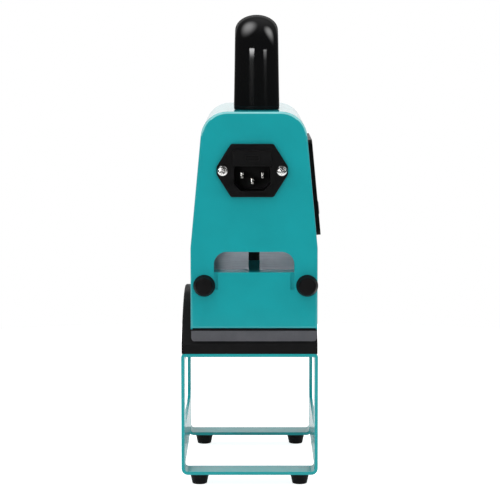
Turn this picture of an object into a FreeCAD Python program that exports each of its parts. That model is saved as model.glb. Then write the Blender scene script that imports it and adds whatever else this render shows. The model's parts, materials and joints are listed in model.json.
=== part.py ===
"""Portable cap press resting on its stand, as a parametric assembly of its real pieces.

Millimetres. X points to the control panel, Y from the inlet end to the plain end, Z up.
The origin is on the floor, under the middle of the stand.
"""
import FreeCAD, Part
import math
import os
import re

import Sketcher

# Driving dimensions
SIZES = {
    # Stand: a folded sheet ring with end bars and open sides
    "stand_width": "93.5",
    "stand_length": "160",
    "stand_height": "84",
    "frame_sheet": "2.2",
    "frame_bend": "4.4",
    "frame_top_bend": "2.5",
    "bar_width": "20.8",
    "rail_top": "29.5",
    "window_head": "9",
    "window_corner": "9",
    "rail_corner": "3",
    "foot_height": "7.8",
    "foot_top_diameter": "13.8",
    "foot_tip_diameter": "10.3",
    "foot_seat": "2.2",
    "foot_inset": "12.2",
    # Common fasteners
    "screw_diameter": "4",
    "screw_head_diameter": "7.2",
    "screw_head_height": "2.6",
    "screw_head_edge": "0.8",
    "nut_flats": "7",
    "nut_height": "3.2",
    "thread_overrun": "1",
    "fit_gap": "0.05",
    "recess_gap": "0.3",
    # Arched pad
    "pad_side_gap": "0.25",
    "pad_edge": "6.7",
    "pad_crown": "37.2",
    "insert_diameter": "8",
    "insert_depth": "10",
    "insert_inset_across": "18.5",
    "insert_inset_along": "32",
    # Platen and its heating layers
    "head_offset": "3.1",
    "contact_gap": "0.3",
    "layer_gap": "0.1",
    "platen_side_gap": "0.35",
    "platen_thickness": "5.6",
    "platen_edge": "2",
    "gasket_thickness": "0.9",
    "gasket_width": "5",
    "element_thickness": "1.5",
    "clamp_thickness": "1",
    "blanket_thickness": "5",
    "layer_margin": "7",
    "stud_inset_across": "10.85",
    "stud_inset_along": "36.5",
    "stud_depth": "3",
    "stud_hole_gap": "0.5",
    "sensor_inset": "20.85",
    "sensor_diameter": "5",
    "sensor_height": "6",
    "cutout_diameter": "9",
    "cutout_height": "6.4",
    # Heater housing, spacer brackets and the air gap
    "housing_sheet": "1.2",
    "housing_clearance": "12.9",
    "tab_lap": "1.25",
    "tab_drop": "16",
    "air_gap": "16.6",
    "bracket_setback": "18",
    "bracket_width": "24",
    "bracket_slot": "7.6",
    "bracket_sheet": "1.5",
    "bracket_flange": "14",
    "sleeve_diameter": "13",
    "sleeve_wall": "1.5",
    # Casing
    "head_length": "160",
    "casing_width": "86.4",
    "casing_lean": "5.4",
    "casing_height": "92.4",
    "casing_shoulder": "18",
    "casing_sheet": "1.2",
    "floor_sheet": "1.5",
    "panel_sheet": "1.5",
    "panel_edge": "1",
    "panel_lift": "0.7",
    "arch_inset": "15.95",
    "arch_head": "2.7",
    "arch_corner": "8.5",
    "tongue_slot": "2.4",
    "tongue_slot_drop": "11.7",
    "tongue_corner": "1.2",
    # End bumpers
    "bumper_base_diameter": "15",
    "bumper_tip_diameter": "11.4",
    "bumper_length": "7",
    "bumper_inset": "8.2",
    "bumper_shift": "1.1",
    "bumper_drop": "9.1",
    "bumper_stud_depth": "4",
    # Handle
    "handle_length": "110",
    "handle_shift": "1.8",
    "handle_foot_width": "31.4",
    "handle_grip_width": "29.4",
    "handle_thickness": "21",
    "handle_height": "65",
    "handle_bend": "25",
    "handle_pad_thickness": "2.5",
    "handle_pad_inset": "0.1",
    "handle_screw_diameter": "6",
    "handle_screw_depth": "25",
    "handle_screw_head": "10",
    "handle_screw_head_height": "4",
    "washer_diameter": "16",
    "washer_thickness": "1.5",
    # Mains inlet
    "inlet_rise": "52.8",
    "inlet_shift": "1.2",
    "flange_width": "48.4",
    "flange_height": "36",
    "flange_flat": "28.8",
    "flange_nose": "5.2",
    "flange_round": "2",
    "flange_thickness": "3",
    "inlet_pitch": "40",
    "inlet_screw_diameter": "3.5",
    "inlet_screw_head": "7.2",
    "inlet_screw_head_height": "2.2",
    "inlet_nut_flats": "6",
    "inlet_nut_height": "2.6",
    "inlet_width": "28",
    "inlet_height": "31.5",
    "inlet_depth": "22",
    "inlet_floor": "5",
    "socket_width": "24.6",
    "socket_height": "16.8",
    "socket_chamfer": "4.5",
    "socket_drop": "5.4",
    "pin_pitch": "14",
    "pin_thickness": "2",
    "pin_width": "4",
    "pin_recess": "4",
    "pin_tab": "9",
    "pin_rise": "2",
    "earth_drop": "4",
    # Fuse drawer
    "drawer_rise": "8.6",
    "drawer_face_width": "26",
    "drawer_face_height": "10.6",
    "drawer_face_thickness": "1.6",
    "drawer_width": "23.6",
    "drawer_height": "7.8",
    "drawer_depth": "17",
    "drawer_floor": "1.2",
    "drawer_gap": "0.15",
    "fuse_length": "20",
    "fuse_diameter": "5.2",
    "fuse_cap_length": "5",
    "fuse_glass_diameter": "4.6",
    # Control panel on the leaning wall
    "bezel_rise": "38.1",
    "bezel_length": "93",
    "bezel_height": "66.4",
    "bezel_thickness": "3.6",
    "bezel_corner": "4",
    "hatch_length": "82",
    "hatch_height": "48",
    "display_length": "56",
    "display_height": "20",
    "display_rise": "12",
    "display_sink": "0.4",
    "display_lip": "1.75",
    "display_lip_thickness": "0.8",
    "module_length": "52",
    "module_height": "17",
    "module_thickness": "6.5",
    "key_length": "13",
    "key_height": "9.5",
    "key_round": "2",
    "key_pitch": "17",
    "key_drop": "15.5",
    "key_proud": "0.9",
    "key_gap": "0.15",
    "key_lip": "1",
    "key_lip_thickness": "1.2",
    "key_stem_diameter": "4",
    "key_stem_length": "1.8",
    "key_travel": "0.8",
    "key_spare_travel": "0.15",
    "switch_width": "6.2",
    "switch_height": "3.4",
    "plunger_diameter": "3.4",
    "board_length": "79",
    "board_height": "46",
    "board_sheet": "1.6",
    "board_depth": "8",
    "post_diameter": "6",
    "post_pitch_along": "73",
    "post_pitch_across": "38",
    "small_screw_diameter": "3",
    "small_screw_head": "5.5",
    "small_screw_head_height": "2",
    "small_screw_bite": "5",
    # Power board inside the casing
    "power_board_width": "60",
    "power_board_length": "108",
    "power_board_shift_across": "-1.5",
    "power_board_margin": "4",
    "power_board_lift": "8",
    "power_post_margin": "5",
    "transformer_width": "34",
    "transformer_length": "40",
    "transformer_height": "32",
    "transformer_along": "12",
    "transformer_lead_gap": "2.4022",
    "relay_width": "16",
    "relay_length": "19",
    "relay_height": "15.5",
    "relay_across": "14",
    "relay_along": "-20",
    "terminal_width": "26",
    "terminal_length": "11",
    "terminal_height": "12",
    "terminal_reach": "12",
    "buzzer_diameter": "12",
    "buzzer_height": "9",
    "buzzer_across": "8",
    "buzzer_along": "44",
    "lead_diameter": "2.6",
    "lead_bend": "7",
    "heater_lead_pitch": "5",
    "control_lead_diameter": "4",
    "control_lead_reach": "10",
    "control_lead_bend": "5",
}

# Values worked out from the driving dimensions
PLACES = {
    "frame_top": "foot_height + stand_height",
    "foot_across": "stand_width / 2 - foot_inset",
    "foot_along": "stand_length / 2 - bar_width / 2",
    "screw_hole": "screw_diameter + 2 * fit_gap",
    "pad_width": "stand_width - 2 * pad_side_gap",
    "insert_across": "pad_width / 2 - insert_inset_across",
    "insert_along": "stand_length / 2 - insert_inset_along",
    "pad_rise": "pad_crown - pad_edge",
    "pad_radius": "((stand_length / 2) ^ 2 + pad_rise ^ 2) / (2 * pad_rise)",
    "arch_centre": "frame_top + pad_crown - pad_radius",
    "platen_width": "casing_width - 2 * platen_side_gap",
    "platen_inside": "pad_radius + contact_gap",
    "platen_outside": "platen_inside + platen_thickness",
    "housing_seat": "platen_outside + gasket_thickness",
    "element_outside": "platen_outside + layer_gap + element_thickness",
    "clamp_outside": "element_outside + layer_gap + clamp_thickness",
    "body_length": "head_length - 2 * panel_sheet",
    "housing_top": "arch_centre + platen_outside + housing_clearance",
    "casing_base": "housing_top + air_gap",
    "casing_top": "casing_base + casing_height",
    "floor_top": "casing_base + floor_sheet",
    "lean_slope": "tan(casing_lean * 1 deg)",
    "wall_run": "casing_sheet / cos(casing_lean * 1 deg)",
    "outer_shoulder": "casing_width / 2 - casing_height * lean_slope",
    "inner_base": "casing_width / 2 - wall_run",
    "inner_shoulder": "inner_base - (casing_height - casing_sheet) * lean_slope",
    "panel_bottom": "arch_centre + sqrt(housing_seat ^ 2 - (body_length / 2) ^ 2) + panel_lift",
    "end_face": "head_length / 2",
    "stud_across": "platen_width / 2 - stud_inset_across",
    "stud_along": "body_length / 2 - stud_inset_along",
    "stud_foot": "arch_centre + sqrt(platen_outside ^ 2 - stud_along ^ 2) - stud_depth",
    "sensor_across": "platen_width / 2 - sensor_inset",
    "bracket_across": "(bracket_slot + bracket_width) / 2",
    "bracket_along": "end_face - bracket_setback",
    "bracket_screw_along": "bracket_along - (bracket_sheet + bracket_flange) / 2",
    "arch_width": "casing_width - 2 * arch_inset",
    "arch_top": "casing_base - arch_head",
    "tongue_side": "arch_width / 2 - tongue_slot",
    "slot_foot": "housing_top - tongue_slot_drop",
    "tab_width": "arch_width + 2 * tab_lap",
    "tab_along": "(body_length - housing_sheet) / 2",
    "bumper_across": "casing_width / 2 - bumper_inset",
    "bumper_middle": "head_offset + bumper_shift",
    "bumper_level": "housing_top - bumper_drop",
    "handle_middle": "head_offset + handle_shift",
    "handle_leg": "(handle_length - handle_thickness) / 2",
    "handle_foot": "casing_top + handle_pad_thickness",
    "handle_line": "handle_height - handle_pad_thickness - handle_thickness / 2",
    "inlet_middle": "head_offset - inlet_shift",
    "inlet_level": "casing_base + inlet_rise",
    "inlet_front": "-end_face - flange_thickness",
    "inlet_back": "-end_face + inlet_depth",
    "socket_level": "inlet_level - socket_drop",
    "drawer_level": "inlet_level + drawer_rise",
    "pin_end": "inlet_back + pin_tab",
    "wall_face": "head_offset + casing_width / 2 - bezel_rise * lean_slope",
    "bezel_level": "casing_base + bezel_rise",
    "board_back": "-board_depth - board_sheet",
    "key_foot": "-fit_gap - key_lip_thickness - key_stem_length",
    "plunger_top": "key_foot - key_travel - key_spare_travel",
    "lead_depth": "control_lead_reach - board_back + control_lead_diameter / 2",
    "lead_face": "wall_face - lead_depth / cos(casing_lean * 1 deg)",
    "transformer_across": "lead_face - transformer_lead_gap - transformer_width / 2",
    "power_board_top": "floor_top + power_board_lift + board_sheet",
    "power_board_across": "head_offset + power_board_shift_across",
    "power_board_along": "terminal_place - terminal_length / 2 - power_board_margin + power_board_length / 2",
    "power_post_across": "power_board_width / 2 - power_post_margin",
    "power_post_along": "power_board_length / 2 - power_post_margin",
    "terminal_top": "power_board_top + terminal_height",
    "terminal_place": "pin_end + terminal_reach",
}

OVERCUT = 1.0
CLOSE = 0.01
UPRIGHT = FreeCAD.Rotation()
UPSIDE_DOWN = FreeCAD.Rotation(FreeCAD.Vector(1, 0, 0), 180)
HALF_TURN = FreeCAD.Rotation(FreeCAD.Vector(0, 0, 1), 180)
ALONG_X = FreeCAD.Rotation(FreeCAD.Vector(0, 1, 0), 90)
ALONG_Y = FreeCAD.Rotation(FreeCAD.Vector(1, 0, 0), -90)
AGAINST_Y = FreeCAD.Rotation(FreeCAD.Vector(1, 0, 0), 90)
BOTH = ("-", "")

doc = FreeCAD.newDocument("CapPress")
nodes = []


def make_sheet(name, cells):
    """A spreadsheet with one named value in each row."""
    sheet = doc.addObject("Spreadsheet::Sheet", name)
    for row, (alias, text) in enumerate(cells.items(), 1):
        sheet.set(f"A{row}", alias)
        sheet.set(f"B{row}", text)
        sheet.setAlias(f"B{row}", alias)
    return sheet


def qualified(text, own=()):
    """An expression with the sheet's name put before each alias, except the sheet's own."""
    def with_sheet(match):
        word = match.group(0)
        if word in SIZES:
            return "Sizes." + word
        if word in PLACES and word not in own:
            return "Places." + word
        return word
    return re.sub(r"[a-z][a-z_]*", with_sheet, text)


sizes = make_sheet("Sizes", SIZES)
places = make_sheet("Places", {name: "=" + qualified(text, PLACES) for name, text in PLACES.items()})
doc.recompute()


def value(text):
    """The number that an expression gives."""
    return float(sizes.evalExpression(qualified(text)))


def bind(item, **texts):
    """Bind properties of an object to expressions."""
    for name, text in texts.items():
        item.setExpression(name, qualified(text))


def move(item, x="0", y="0", z="0"):
    """Bind the place of an object to expressions."""
    for axis, text in zip("xyz", (x, y, z)):
        item.setExpression("Placement.Base." + axis, qualified(text))
    return item


def turn(item, rotation):
    item.Placement = FreeCAD.Placement(FreeCAD.Vector(), rotation)
    return item


def lean(item):
    """Carry an object from the control panel's own axes to the leaning wall.

    In those axes X runs down the wall, Y along it and Z straight out of it.
    """
    turn(item, ALONG_X)
    item.setExpression("Placement.Rotation.Angle", qualified("90 - casing_lean"))
    return move(item, "wall_face", "0", "bezel_level")


def finish(label, item):
    """Name an object as a piece of the assembly."""
    item.Label = label
    nodes.append(item)
    return item


def block(name, width, depth, height, x="0", y="0", z="0"):
    """A box centred on x and y that stands on z."""
    box = doc.addObject("Part::Box", name)
    bind(box, Length=width, Width=depth, Height=height)
    return move(box, f"({x}) - ({width}) / 2", f"({y}) - ({depth}) / 2", z)


def rod(name, diameter, length, x="0", y="0", z="0", rotation=UPRIGHT):
    """A cylinder that starts at a point, upright unless it is turned."""
    cylinder = doc.addObject("Part::Cylinder", name)
    turn(cylinder, rotation)
    bind(cylinder, Radius=f"({diameter}) / 2", Height=length)
    return move(cylinder, x, y, z)


def fuse(name, *shapes):
    joined = doc.addObject("Part::MultiFuse", name)
    joined.Shapes = list(shapes)
    return joined


def group(name, shapes):
    compound = doc.addObject("Part::Compound", name)
    compound.Links = list(shapes)
    return compound


def cut(name, base, *tools):
    result = doc.addObject("Part::Cut", name)
    result.Base = base
    result.Tool = tools[0] if len(tools) == 1 else fuse(name + "_tools", *tools)
    return result


def common(name, *shapes):
    result = doc.addObject("Part::MultiCommon", name)
    result.Shapes = list(shapes)
    return result


def copy(master, name, x="0", y="0", z="0", rotation=UPRIGHT):
    """A linked copy of an object, at a place of its own."""
    link = doc.addObject("App::Link", name)
    link.LinkedObject = master
    turn(link, rotation)
    return move(link, x, y, z)


def four(name, across, along, x="0", y="0"):
    """Names and places of four pieces set square about a centre."""
    for first in BOTH:
        for second in BOTH:
            side = ("left" if first else "right") + ("_near" if second else "_far")
            yield f"{name}_{side}", f"{x} {first or '+'} ({across})", f"{y} {second or '+'} ({along})"


def sketch_on(body, role, name):
    """A sketch on one of the body's own origin planes."""
    sketch = body.newObject("Sketcher::SketchObject", name)
    plane = next(feature for feature in body.Origin.OriginFeatures if feature.Role == role)
    sketch.AttachmentSupport = [(plane, "")]
    sketch.MapMode = "FlatFace"
    return sketch


def hold(sketch, kind, line, end, text):
    """Bind one coordinate of a line's end to an expression."""
    index = sketch.addConstraint(Sketcher.Constraint(kind, -1, 1, line, end, value(text)))
    sketch.setExpression(f"Constraints[{index}]", qualified(text))


def polygon(sketch, corners):
    """Draw a closed outline through corners that are pairs of expressions."""
    points = [FreeCAD.Vector(value(across), value(up), 0) for across, up in corners]
    ends = points[1:] + points[:1]
    lines = [sketch.addGeometry(Part.LineSegment(point, end)) for point, end in zip(points, ends)]
    for line, after in zip(lines, lines[1:] + lines[:1]):
        sketch.addConstraint(Sketcher.Constraint("Coincident", line, 2, after, 1))
    for line, (across, up) in zip(lines, corners):
        hold(sketch, "DistanceX", line, 1, across)
        hold(sketch, "DistanceY", line, 1, up)


def route(sketch, corners, radius):
    """Draw straight runs along the sketch's axes, joined by tangent arcs."""
    points = [FreeCAD.Vector(value(across), value(up), 0) for across, up in corners]
    bend = value(radius)
    start = points[0]
    arcs = []
    for before, corner, after in zip(points, points[1:], points[2:]):
        back = (before - corner).normalize() * bend
        on = (after - corner).normalize() * bend
        middle = corner + (back + on) * (1 - math.sqrt(0.5))
        line = sketch.addGeometry(Part.LineSegment(start, corner + back))
        arc = sketch.addGeometry(Part.Arc(corner + back, middle, corner + on))
        entry = 1 if sketch.getPoint(arc, 1).distanceToPoint(corner + back) < CLOSE else 2
        arcs.append((line, arc, entry))
        start = corner + on
    last = sketch.addGeometry(Part.LineSegment(start, points[-1]))
    for line, arc, entry in arcs:
        sketch.addConstraint(Sketcher.Constraint("Tangent", line, 2, arc, entry))
        sketch.addConstraint(Sketcher.Constraint("Tangent", arc, 3 - entry, arc + 1, 1))
        index = sketch.addConstraint(Sketcher.Constraint("Radius", arc, bend))
        sketch.setExpression(f"Constraints[{index}]", qualified(radius))
    for line, ((across, up), here, there) in enumerate(zip(corners, points, points[1:])):
        level = abs(here.y - there.y) < CLOSE
        sketch.addConstraint(Sketcher.Constraint("Horizontal" if level else "Vertical", 2 * line))
        hold(sketch, "DistanceY" if level else "DistanceX", 2 * line, 1, up if level else across)
    for line, end, (across, up) in ((0, 1, corners[0]), (last, 2, corners[-1])):
        first, second = points[:2] if line == 0 else points[-2:]
        level = abs(first.y - second.y) < CLOSE
        hold(sketch, "DistanceX" if level else "DistanceY", line, end, across if level else up)


def oval(sketch, width, depth, up):
    """Draw an oval that lies across the sketch, at a height above its origin."""
    centre = FreeCAD.Vector(0, value(up), 0)
    side = FreeCAD.Vector(value(width) / 2, 0, 0)
    top = FreeCAD.Vector(0, value(depth) / 2, 0)
    curve = sketch.addGeometry(Part.Ellipse(centre + side, centre + top, centre))
    sketch.exposeInternalGeometry(curve)
    sketch.addConstraint(Sketcher.Constraint("Horizontal", curve + 1))
    for line, text in ((curve + 1, width), (curve + 2, depth)):
        index = sketch.addConstraint(Sketcher.Constraint("Distance", line, value(text)))
        sketch.setExpression(f"Constraints[{index}]", qualified(text))
    hold(sketch, "DistanceX", curve, 3, "0")
    hold(sketch, "DistanceY", curve, 3, up)


def pad_evenly(body, sketch, length):
    """Pad a sketch by half a length to each side."""
    pad = body.newObject("PartDesign::Pad", body.Name + "_pad")
    pad.Profile = sketch
    pad.SideType = "Symmetric"
    bind(pad, Length=length)


def prism(name, role, corners, length, window=()):
    """A polygon on one of a body's planes, with a window in it or none, padded evenly to both sides."""
    body = doc.addObject("PartDesign::Body", name)
    sketch = sketch_on(body, role, name + "_outline")
    polygon(sketch, corners)
    if window:
        polygon(sketch, window)
    pad_evenly(body, sketch, length)
    return body


def lathe(name, corners):
    """A half outline of radius and height pairs, turned round the upright axis."""
    body = doc.addObject("PartDesign::Body", name)
    sketch = sketch_on(body, "XZ_Plane", name + "_outline")
    polygon(sketch, corners)
    revolution = body.newObject("PartDesign::Revolution", name + "_turned")
    revolution.Profile = sketch
    revolution.ReferenceAxis = (sketch, ["V_Axis"])
    revolution.Angle = 360
    return body


def circle_on(body, role, name, diameter):
    """A round section about the body's origin."""
    sketch = sketch_on(body, role, name)
    section = Part.Circle(FreeCAD.Vector(), FreeCAD.Vector(0, 0, 1), value(diameter) / 2)
    sketch.addGeometry(section)
    sketch.addConstraint(Sketcher.Constraint("Coincident", 0, 3, -1, 1))
    index = sketch.addConstraint(Sketcher.Constraint("Diameter", 0, value(diameter)))
    sketch.setExpression(f"Constraints[{index}]", qualified(diameter))
    return sketch


def pipe(body, name, section, path):
    sweep = body.newObject("PartDesign::AdditivePipe", name)
    sweep.Profile = section
    sweep.Spine = (path, [f"Edge{index + 1}" for index in range(path.GeometryCount)])
    return sweep


def lead(name, path_role, section_role, corners, diameter, bend):
    """A round lead that starts at its body's origin and follows straight runs and bends."""
    body = doc.addObject("PartDesign::Body", name)
    path = sketch_on(body, path_role, name + "_path")
    route(path, corners, bend)
    section = circle_on(body, section_role, name + "_section", diameter)
    pipe(body, name + "_sweep", section, path)
    return body


def at(edge, **places_wanted):
    """Whether both ends of an edge have the coordinates asked for."""
    ends = [vertex.Point for vertex in edge.Vertexes]
    return len(ends) == 2 and all(
        abs(getattr(end, axis) - wanted) < CLOSE for end in ends for axis, wanted in places_wanted.items()
    )


def round_edges(body, name, radius, chosen):
    """Round the edges of a body that a test picks."""
    doc.recompute()
    tip = body.Tip
    names = [f"Edge{index}" for index, edge in enumerate(tip.Shape.Edges, 1) if chosen(edge)]
    fillet = body.newObject("PartDesign::Fillet", name)
    fillet.Base = (tip, names)
    bind(fillet, Radius=radius)
    return body


def rectangle(left, right, low, high):
    return [(left, low), (right, low), (right, high), (left, high)]


def centred(width, height):
    return rectangle(f"-({width}) / 2", f"({width}) / 2", f"-({height}) / 2", f"({height}) / 2")


def rounded_plate(name, width, depth, thickness, corner):
    """A plate with rounded upright corners, centred on the body's origin."""
    body = prism(name, "XY_Plane", centred(width, depth), thickness)
    half_width = value(width) / 2
    return round_edges(
        body, name + "_corners", corner,
        lambda edge: any(at(edge, x=side * half_width) for side in (-1, 1)) and is_along(edge, "z"),
    )


def is_along(edge, axis):
    """Whether an edge is straight and runs along an axis."""
    ends = [vertex.Point for vertex in edge.Vertexes]
    if len(ends) != 2:
        return False
    others = [name for name in "xyz" if name != axis]
    return all(abs(getattr(ends[0], name) - getattr(ends[1], name)) < CLOSE for name in others)


def screw(
    name, length, diameter="screw_diameter", head="screw_head_diameter", head_height="screw_head_height",
):
    """A pan-head screw that points up, with the seat of its head at the origin."""
    shank = f"({diameter}) / 2"
    rim = f"({head}) / 2"
    return lathe(name, [
        ("0", f"-({head_height})"),
        (f"{rim} - screw_head_edge", f"-({head_height})"),
        (rim, f"screw_head_edge - ({head_height})"),
        (rim, "0"),
        (shank, "0"),
        (shank, length),
        ("0", length),
    ])


def nut(name, flats="nut_flats", height="nut_height", diameter="screw_diameter"):
    """A hexagon nut that stands on the origin."""
    blank = doc.addObject("Part::Prism", name + "_blank")
    blank.Polygon = 6
    bind(blank, Circumradius=f"({flats}) / 2 / cos(30 deg)", Height=height)
    bore = rod(name + "_bore", f"({diameter}) + 2 * fit_gap", f"({height}) + 2 * {OVERCUT}", z=f"-{OVERCUT}")
    return cut(name, blank, bore)


def arch_cylinder(name, radius, width, x="0"):
    """A cylinder across the part, about the pad's own centre of curvature."""
    return rod(name, f"2 * ({radius})", width, f"({x}) - ({width}) / 2", "0", "arch_centre", ALONG_X)


def arch_sheet(name, inside, outside, width, depth):
    """A curved sheet over the pad between two radii, cut square at its ends."""
    body = doc.addObject("PartDesign::Body", name)
    sketch = sketch_on(body, "YZ_Plane", name + "_section")
    centre = FreeCAD.Vector(0, value("arch_centre"), 0)
    half = value(depth) / 2
    rims = []
    for radius in (inside, outside):
        size = value(radius)
        reach = math.asin(half / size)
        circle = Part.Circle(centre, FreeCAD.Vector(0, 0, 1), size)
        arc = Part.ArcOfCircle(circle, math.pi / 2 - reach, math.pi / 2 + reach)
        rims.append((arc.StartPoint, arc.EndPoint))
        sketch.addGeometry(arc)
    for end, below, above in zip((1, 2), *rims):
        line = sketch.addGeometry(Part.LineSegment(below, above))
        sketch.addConstraint(Sketcher.Constraint("Coincident", 0, end, line, 1))
        sketch.addConstraint(Sketcher.Constraint("Coincident", 1, end, line, 2))
        sketch.addConstraint(Sketcher.Constraint("Vertical", line))
        hold(sketch, "DistanceX", line, 1, f"({depth}) / 2" if end == 1 else f"-({depth}) / 2")
    sketch.addConstraint(Sketcher.Constraint("Coincident", 0, 3, 1, 3))
    sketch.addConstraint(Sketcher.Constraint("PointOnObject", 0, 3, -2))
    hold(sketch, "DistanceY", 0, 3, "arch_centre")
    for arc, radius in enumerate((inside, outside)):
        index = sketch.addConstraint(Sketcher.Constraint("Radius", arc, value(radius)))
        sketch.setExpression(f"Constraints[{index}]", qualified(radius))
    pad_evenly(body, sketch, width)
    return move(body, "head_offset")


def make_stand():
    """The folded frame, its rubber feet and their fasteners."""
    def tube(name, inset):
        half = f"stand_width / 2 - {inset}"
        low = f"foot_height + {inset}"
        high = f"frame_top - {inset}"
        length = "stand_length" if inset == "0" else f"stand_length + 2 * {OVERCUT}"
        body = prism(name, "XZ_Plane", rectangle(f"-({half})", half, low, high), length)
        for side, level, bend in (("low", value(low), "frame_bend"), ("top", value(high), "frame_top_bend")):
            round_edges(
                body, f"{name}_{side}_bends", f"{bend} - {inset}",
                lambda edge: is_along(edge, "y") and at(edge, z=level),
            )
        return body

    outside = tube("frame_outside", "0")
    inside = tube("frame_inside", "frame_sheet")
    opening = "stand_length / 2 - bar_width"
    through = f"stand_width + 2 * {OVERCUT}"
    window = prism(
        "side_window", "YZ_Plane",
        rectangle(f"-({opening})", opening, "foot_height + rail_top", "frame_top - window_head"), through,
    )
    round_edges(window, "side_window_corners", "window_corner", lambda edge: is_along(edge, "x"))
    well = prism(
        "bottom_well", "YZ_Plane",
        rectangle(f"-({opening})", opening, f"foot_height - {OVERCUT}", "foot_height + frame_bend"), through,
    )
    top = value("foot_height + frame_bend")
    round_edges(
        well, "bottom_well_corners", "rail_corner",
        lambda edge: is_along(edge, "x") and at(edge, z=top),
    )
    holes = [
        rod(name, "screw_hole", f"frame_sheet + 2 * {OVERCUT}", x, y, f"foot_height - {OVERCUT}")
        for name, x, y in four("foot_hole", "foot_across", "foot_along")
    ]
    holes += [
        rod(name, "screw_hole", f"frame_sheet + 2 * {OVERCUT}", x, y, f"frame_top - frame_sheet - {OVERCUT}")
        for name, x, y in four("pad_hole", "insert_across", "insert_along")
    ]
    finish("stand_frame", cut("frame_cut", outside, inside, window, well, *holes))

    recess = "screw_head_diameter / 2 + recess_gap"
    seat = "foot_height - foot_seat"
    foot = lathe("foot", [
        ("screw_hole / 2", "foot_height"),
        ("foot_top_diameter / 2", "foot_height"),
        ("foot_tip_diameter / 2", "0"),
        (recess, "0"),
        (recess, seat),
        ("screw_hole / 2", seat),
    ])
    foot_screw = screw("foot_screw", "foot_seat + frame_sheet")
    for label, master, level in (
        ("stand_feet", foot, "0"),
        ("foot_screws", foot_screw, seat),
    ):
        copies = [
            copy(master, name, x, y, level)
            for name, x, y in four(label + "_copy", "foot_across", "foot_along")
        ]
        finish(label, group(label + "_group", copies))


def make_pad():
    """The arched silicone pad, with threaded inserts and the screws that hold it."""
    slab = block("pad_slab", "pad_width", "stand_length", "pad_crown", z="frame_top")
    crown = arch_cylinder("pad_curve", "pad_radius", f"pad_width + 2 * {OVERCUT}")
    arch = common("pad_arch", slab, crown)
    spots = ("insert_across", "insert_along")
    bore = "insert_diameter + 2 * fit_gap"
    pockets = [
        rod(name, bore, f"insert_depth + {OVERCUT}", x, y, f"frame_top - {OVERCUT}")
        for name, x, y in four("pad_pocket", *spots)
    ]
    finish("silicone_pad", cut("pad_cut", arch, *pockets))

    insert = cut(
        "insert",
        rod("insert_blank", "insert_diameter", "insert_depth"),
        rod("insert_bore", "screw_hole", f"insert_depth + 2 * {OVERCUT}", z=f"-{OVERCUT}"),
    )
    pad_screw = screw("pad_screw", "frame_sheet + insert_depth - thread_overrun")
    for label, master, level in (
        ("pad_inserts", insert, "frame_top"),
        ("pad_screws", pad_screw, "frame_top - frame_sheet"),
    ):
        copies = [copy(master, name, x, y, level) for name, x, y in four(label + "_copy", *spots)]
        finish(label, group(label + "_group", copies))


def make_platen():
    """The curved platen, the layers that heat it, and the studs that hold it up."""
    spots = ("stud_across", "stud_along", "head_offset")
    lead_spots = [f"head_offset {sign or '+'} heater_lead_pitch / 2" for sign in BOTH]

    def stud_holes(label, gap):
        return [
            rod(name, f"screw_diameter + 2 * {gap}", "housing_clearance + platen_outside", x, y, "stud_foot")
            for name, x, y in four(label + "_stud_hole", *spots)
        ]

    plate = arch_sheet("platen", "platen_inside", "platen_outside", "platen_width", "body_length")
    inside_radius = value("platen_inside")
    round_edges(
        plate, "platen_edges", "platen_edge",
        lambda edge: hasattr(edge.Curve, "Radius") and abs(edge.Curve.Radius - inside_radius) < CLOSE,
    )
    finish("heating_platen", cut("platen_cut", plate, *stud_holes("platen", "fit_gap")))

    seal = arch_sheet(
        "gasket", "platen_outside + layer_gap", "housing_seat - layer_gap", "platen_width", "body_length",
    )
    inside = block(
        "gasket_inside", "platen_width - 2 * gasket_width", "body_length - 2 * gasket_width",
        "housing_seat", "head_offset", "0", "arch_centre",
    )
    finish("platen_gasket", cut("gasket_cut", seal, inside))

    crown = "arch_centre + clamp_outside + layer_gap"
    sensor_place = "head_offset + sensor_across"
    cutout_place = "head_offset - sensor_across"
    sensors = (
        ("temperature_sensor", "sensor_diameter", "sensor_height", sensor_place),
        ("thermal_cutout", "cutout_diameter", "cutout_height", cutout_place),
    )
    layers = (
        ("heating_element", "platen_outside + layer_gap", "element_outside"),
        ("element_clamp", "element_outside + layer_gap", "clamp_outside"),
        ("insulation_blanket", "clamp_outside + layer_gap", "clamp_outside + layer_gap + blanket_thickness"),
    )
    width = "casing_width - 2 * housing_sheet - 2 * layer_margin"
    depth = "body_length - 2 * housing_sheet - 2 * layer_margin"
    for label, low, high in layers:
        holes = stud_holes(label, "stud_hole_gap")
        if label != "heating_element":
            holes += [
                rod(
                    f"{label}_lead_hole_{index}", "lead_diameter + 2 * stud_hole_gap", "housing_seat",
                    spot, "0", "arch_centre + platen_inside",
                )
                for index, spot in enumerate(lead_spots)
            ]
        if label == "insulation_blanket":
            holes += [
                rod(f"{name}_pocket", f"{diameter} + 2 * stud_hole_gap", "housing_seat", spot, "0", crown)
                for name, diameter, _, spot in sensors
            ]
        sheet = arch_sheet(label + "_sheet", low, high, width, depth)
        finish(label, cut(label + "_cut", sheet, *holes))
    for name, diameter, height, spot in sensors:
        finish(name, rod(name + "_can", diameter, height, spot, "0", crown))

    stud_length = "housing_top + nut_height + thread_overrun - stud_foot"
    studs = [
        rod(name, "screw_diameter", stud_length, x, y, "stud_foot")
        for name, x, y in four("stud", *spots)
    ]
    finish("platen_studs", group("stud_group", studs))
    stud_nut = nut("stud_nut")
    nuts = [copy(stud_nut, name, x, y, "housing_top") for name, x, y in four("stud_nut_copy", *spots)]
    finish("platen_nuts", group("stud_nut_group", nuts))

    lead_foot = "arch_centre + element_outside + layer_gap"
    lead_length = f"power_board_top - board_sheet - ({lead_foot})"
    leads = [
        rod(f"heater_lead_{index}", "lead_diameter", lead_length, spot, "0", lead_foot)
        for index, spot in enumerate(lead_spots)
    ]
    finish("heater_leads", group("heater_lead_group", leads))


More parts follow.
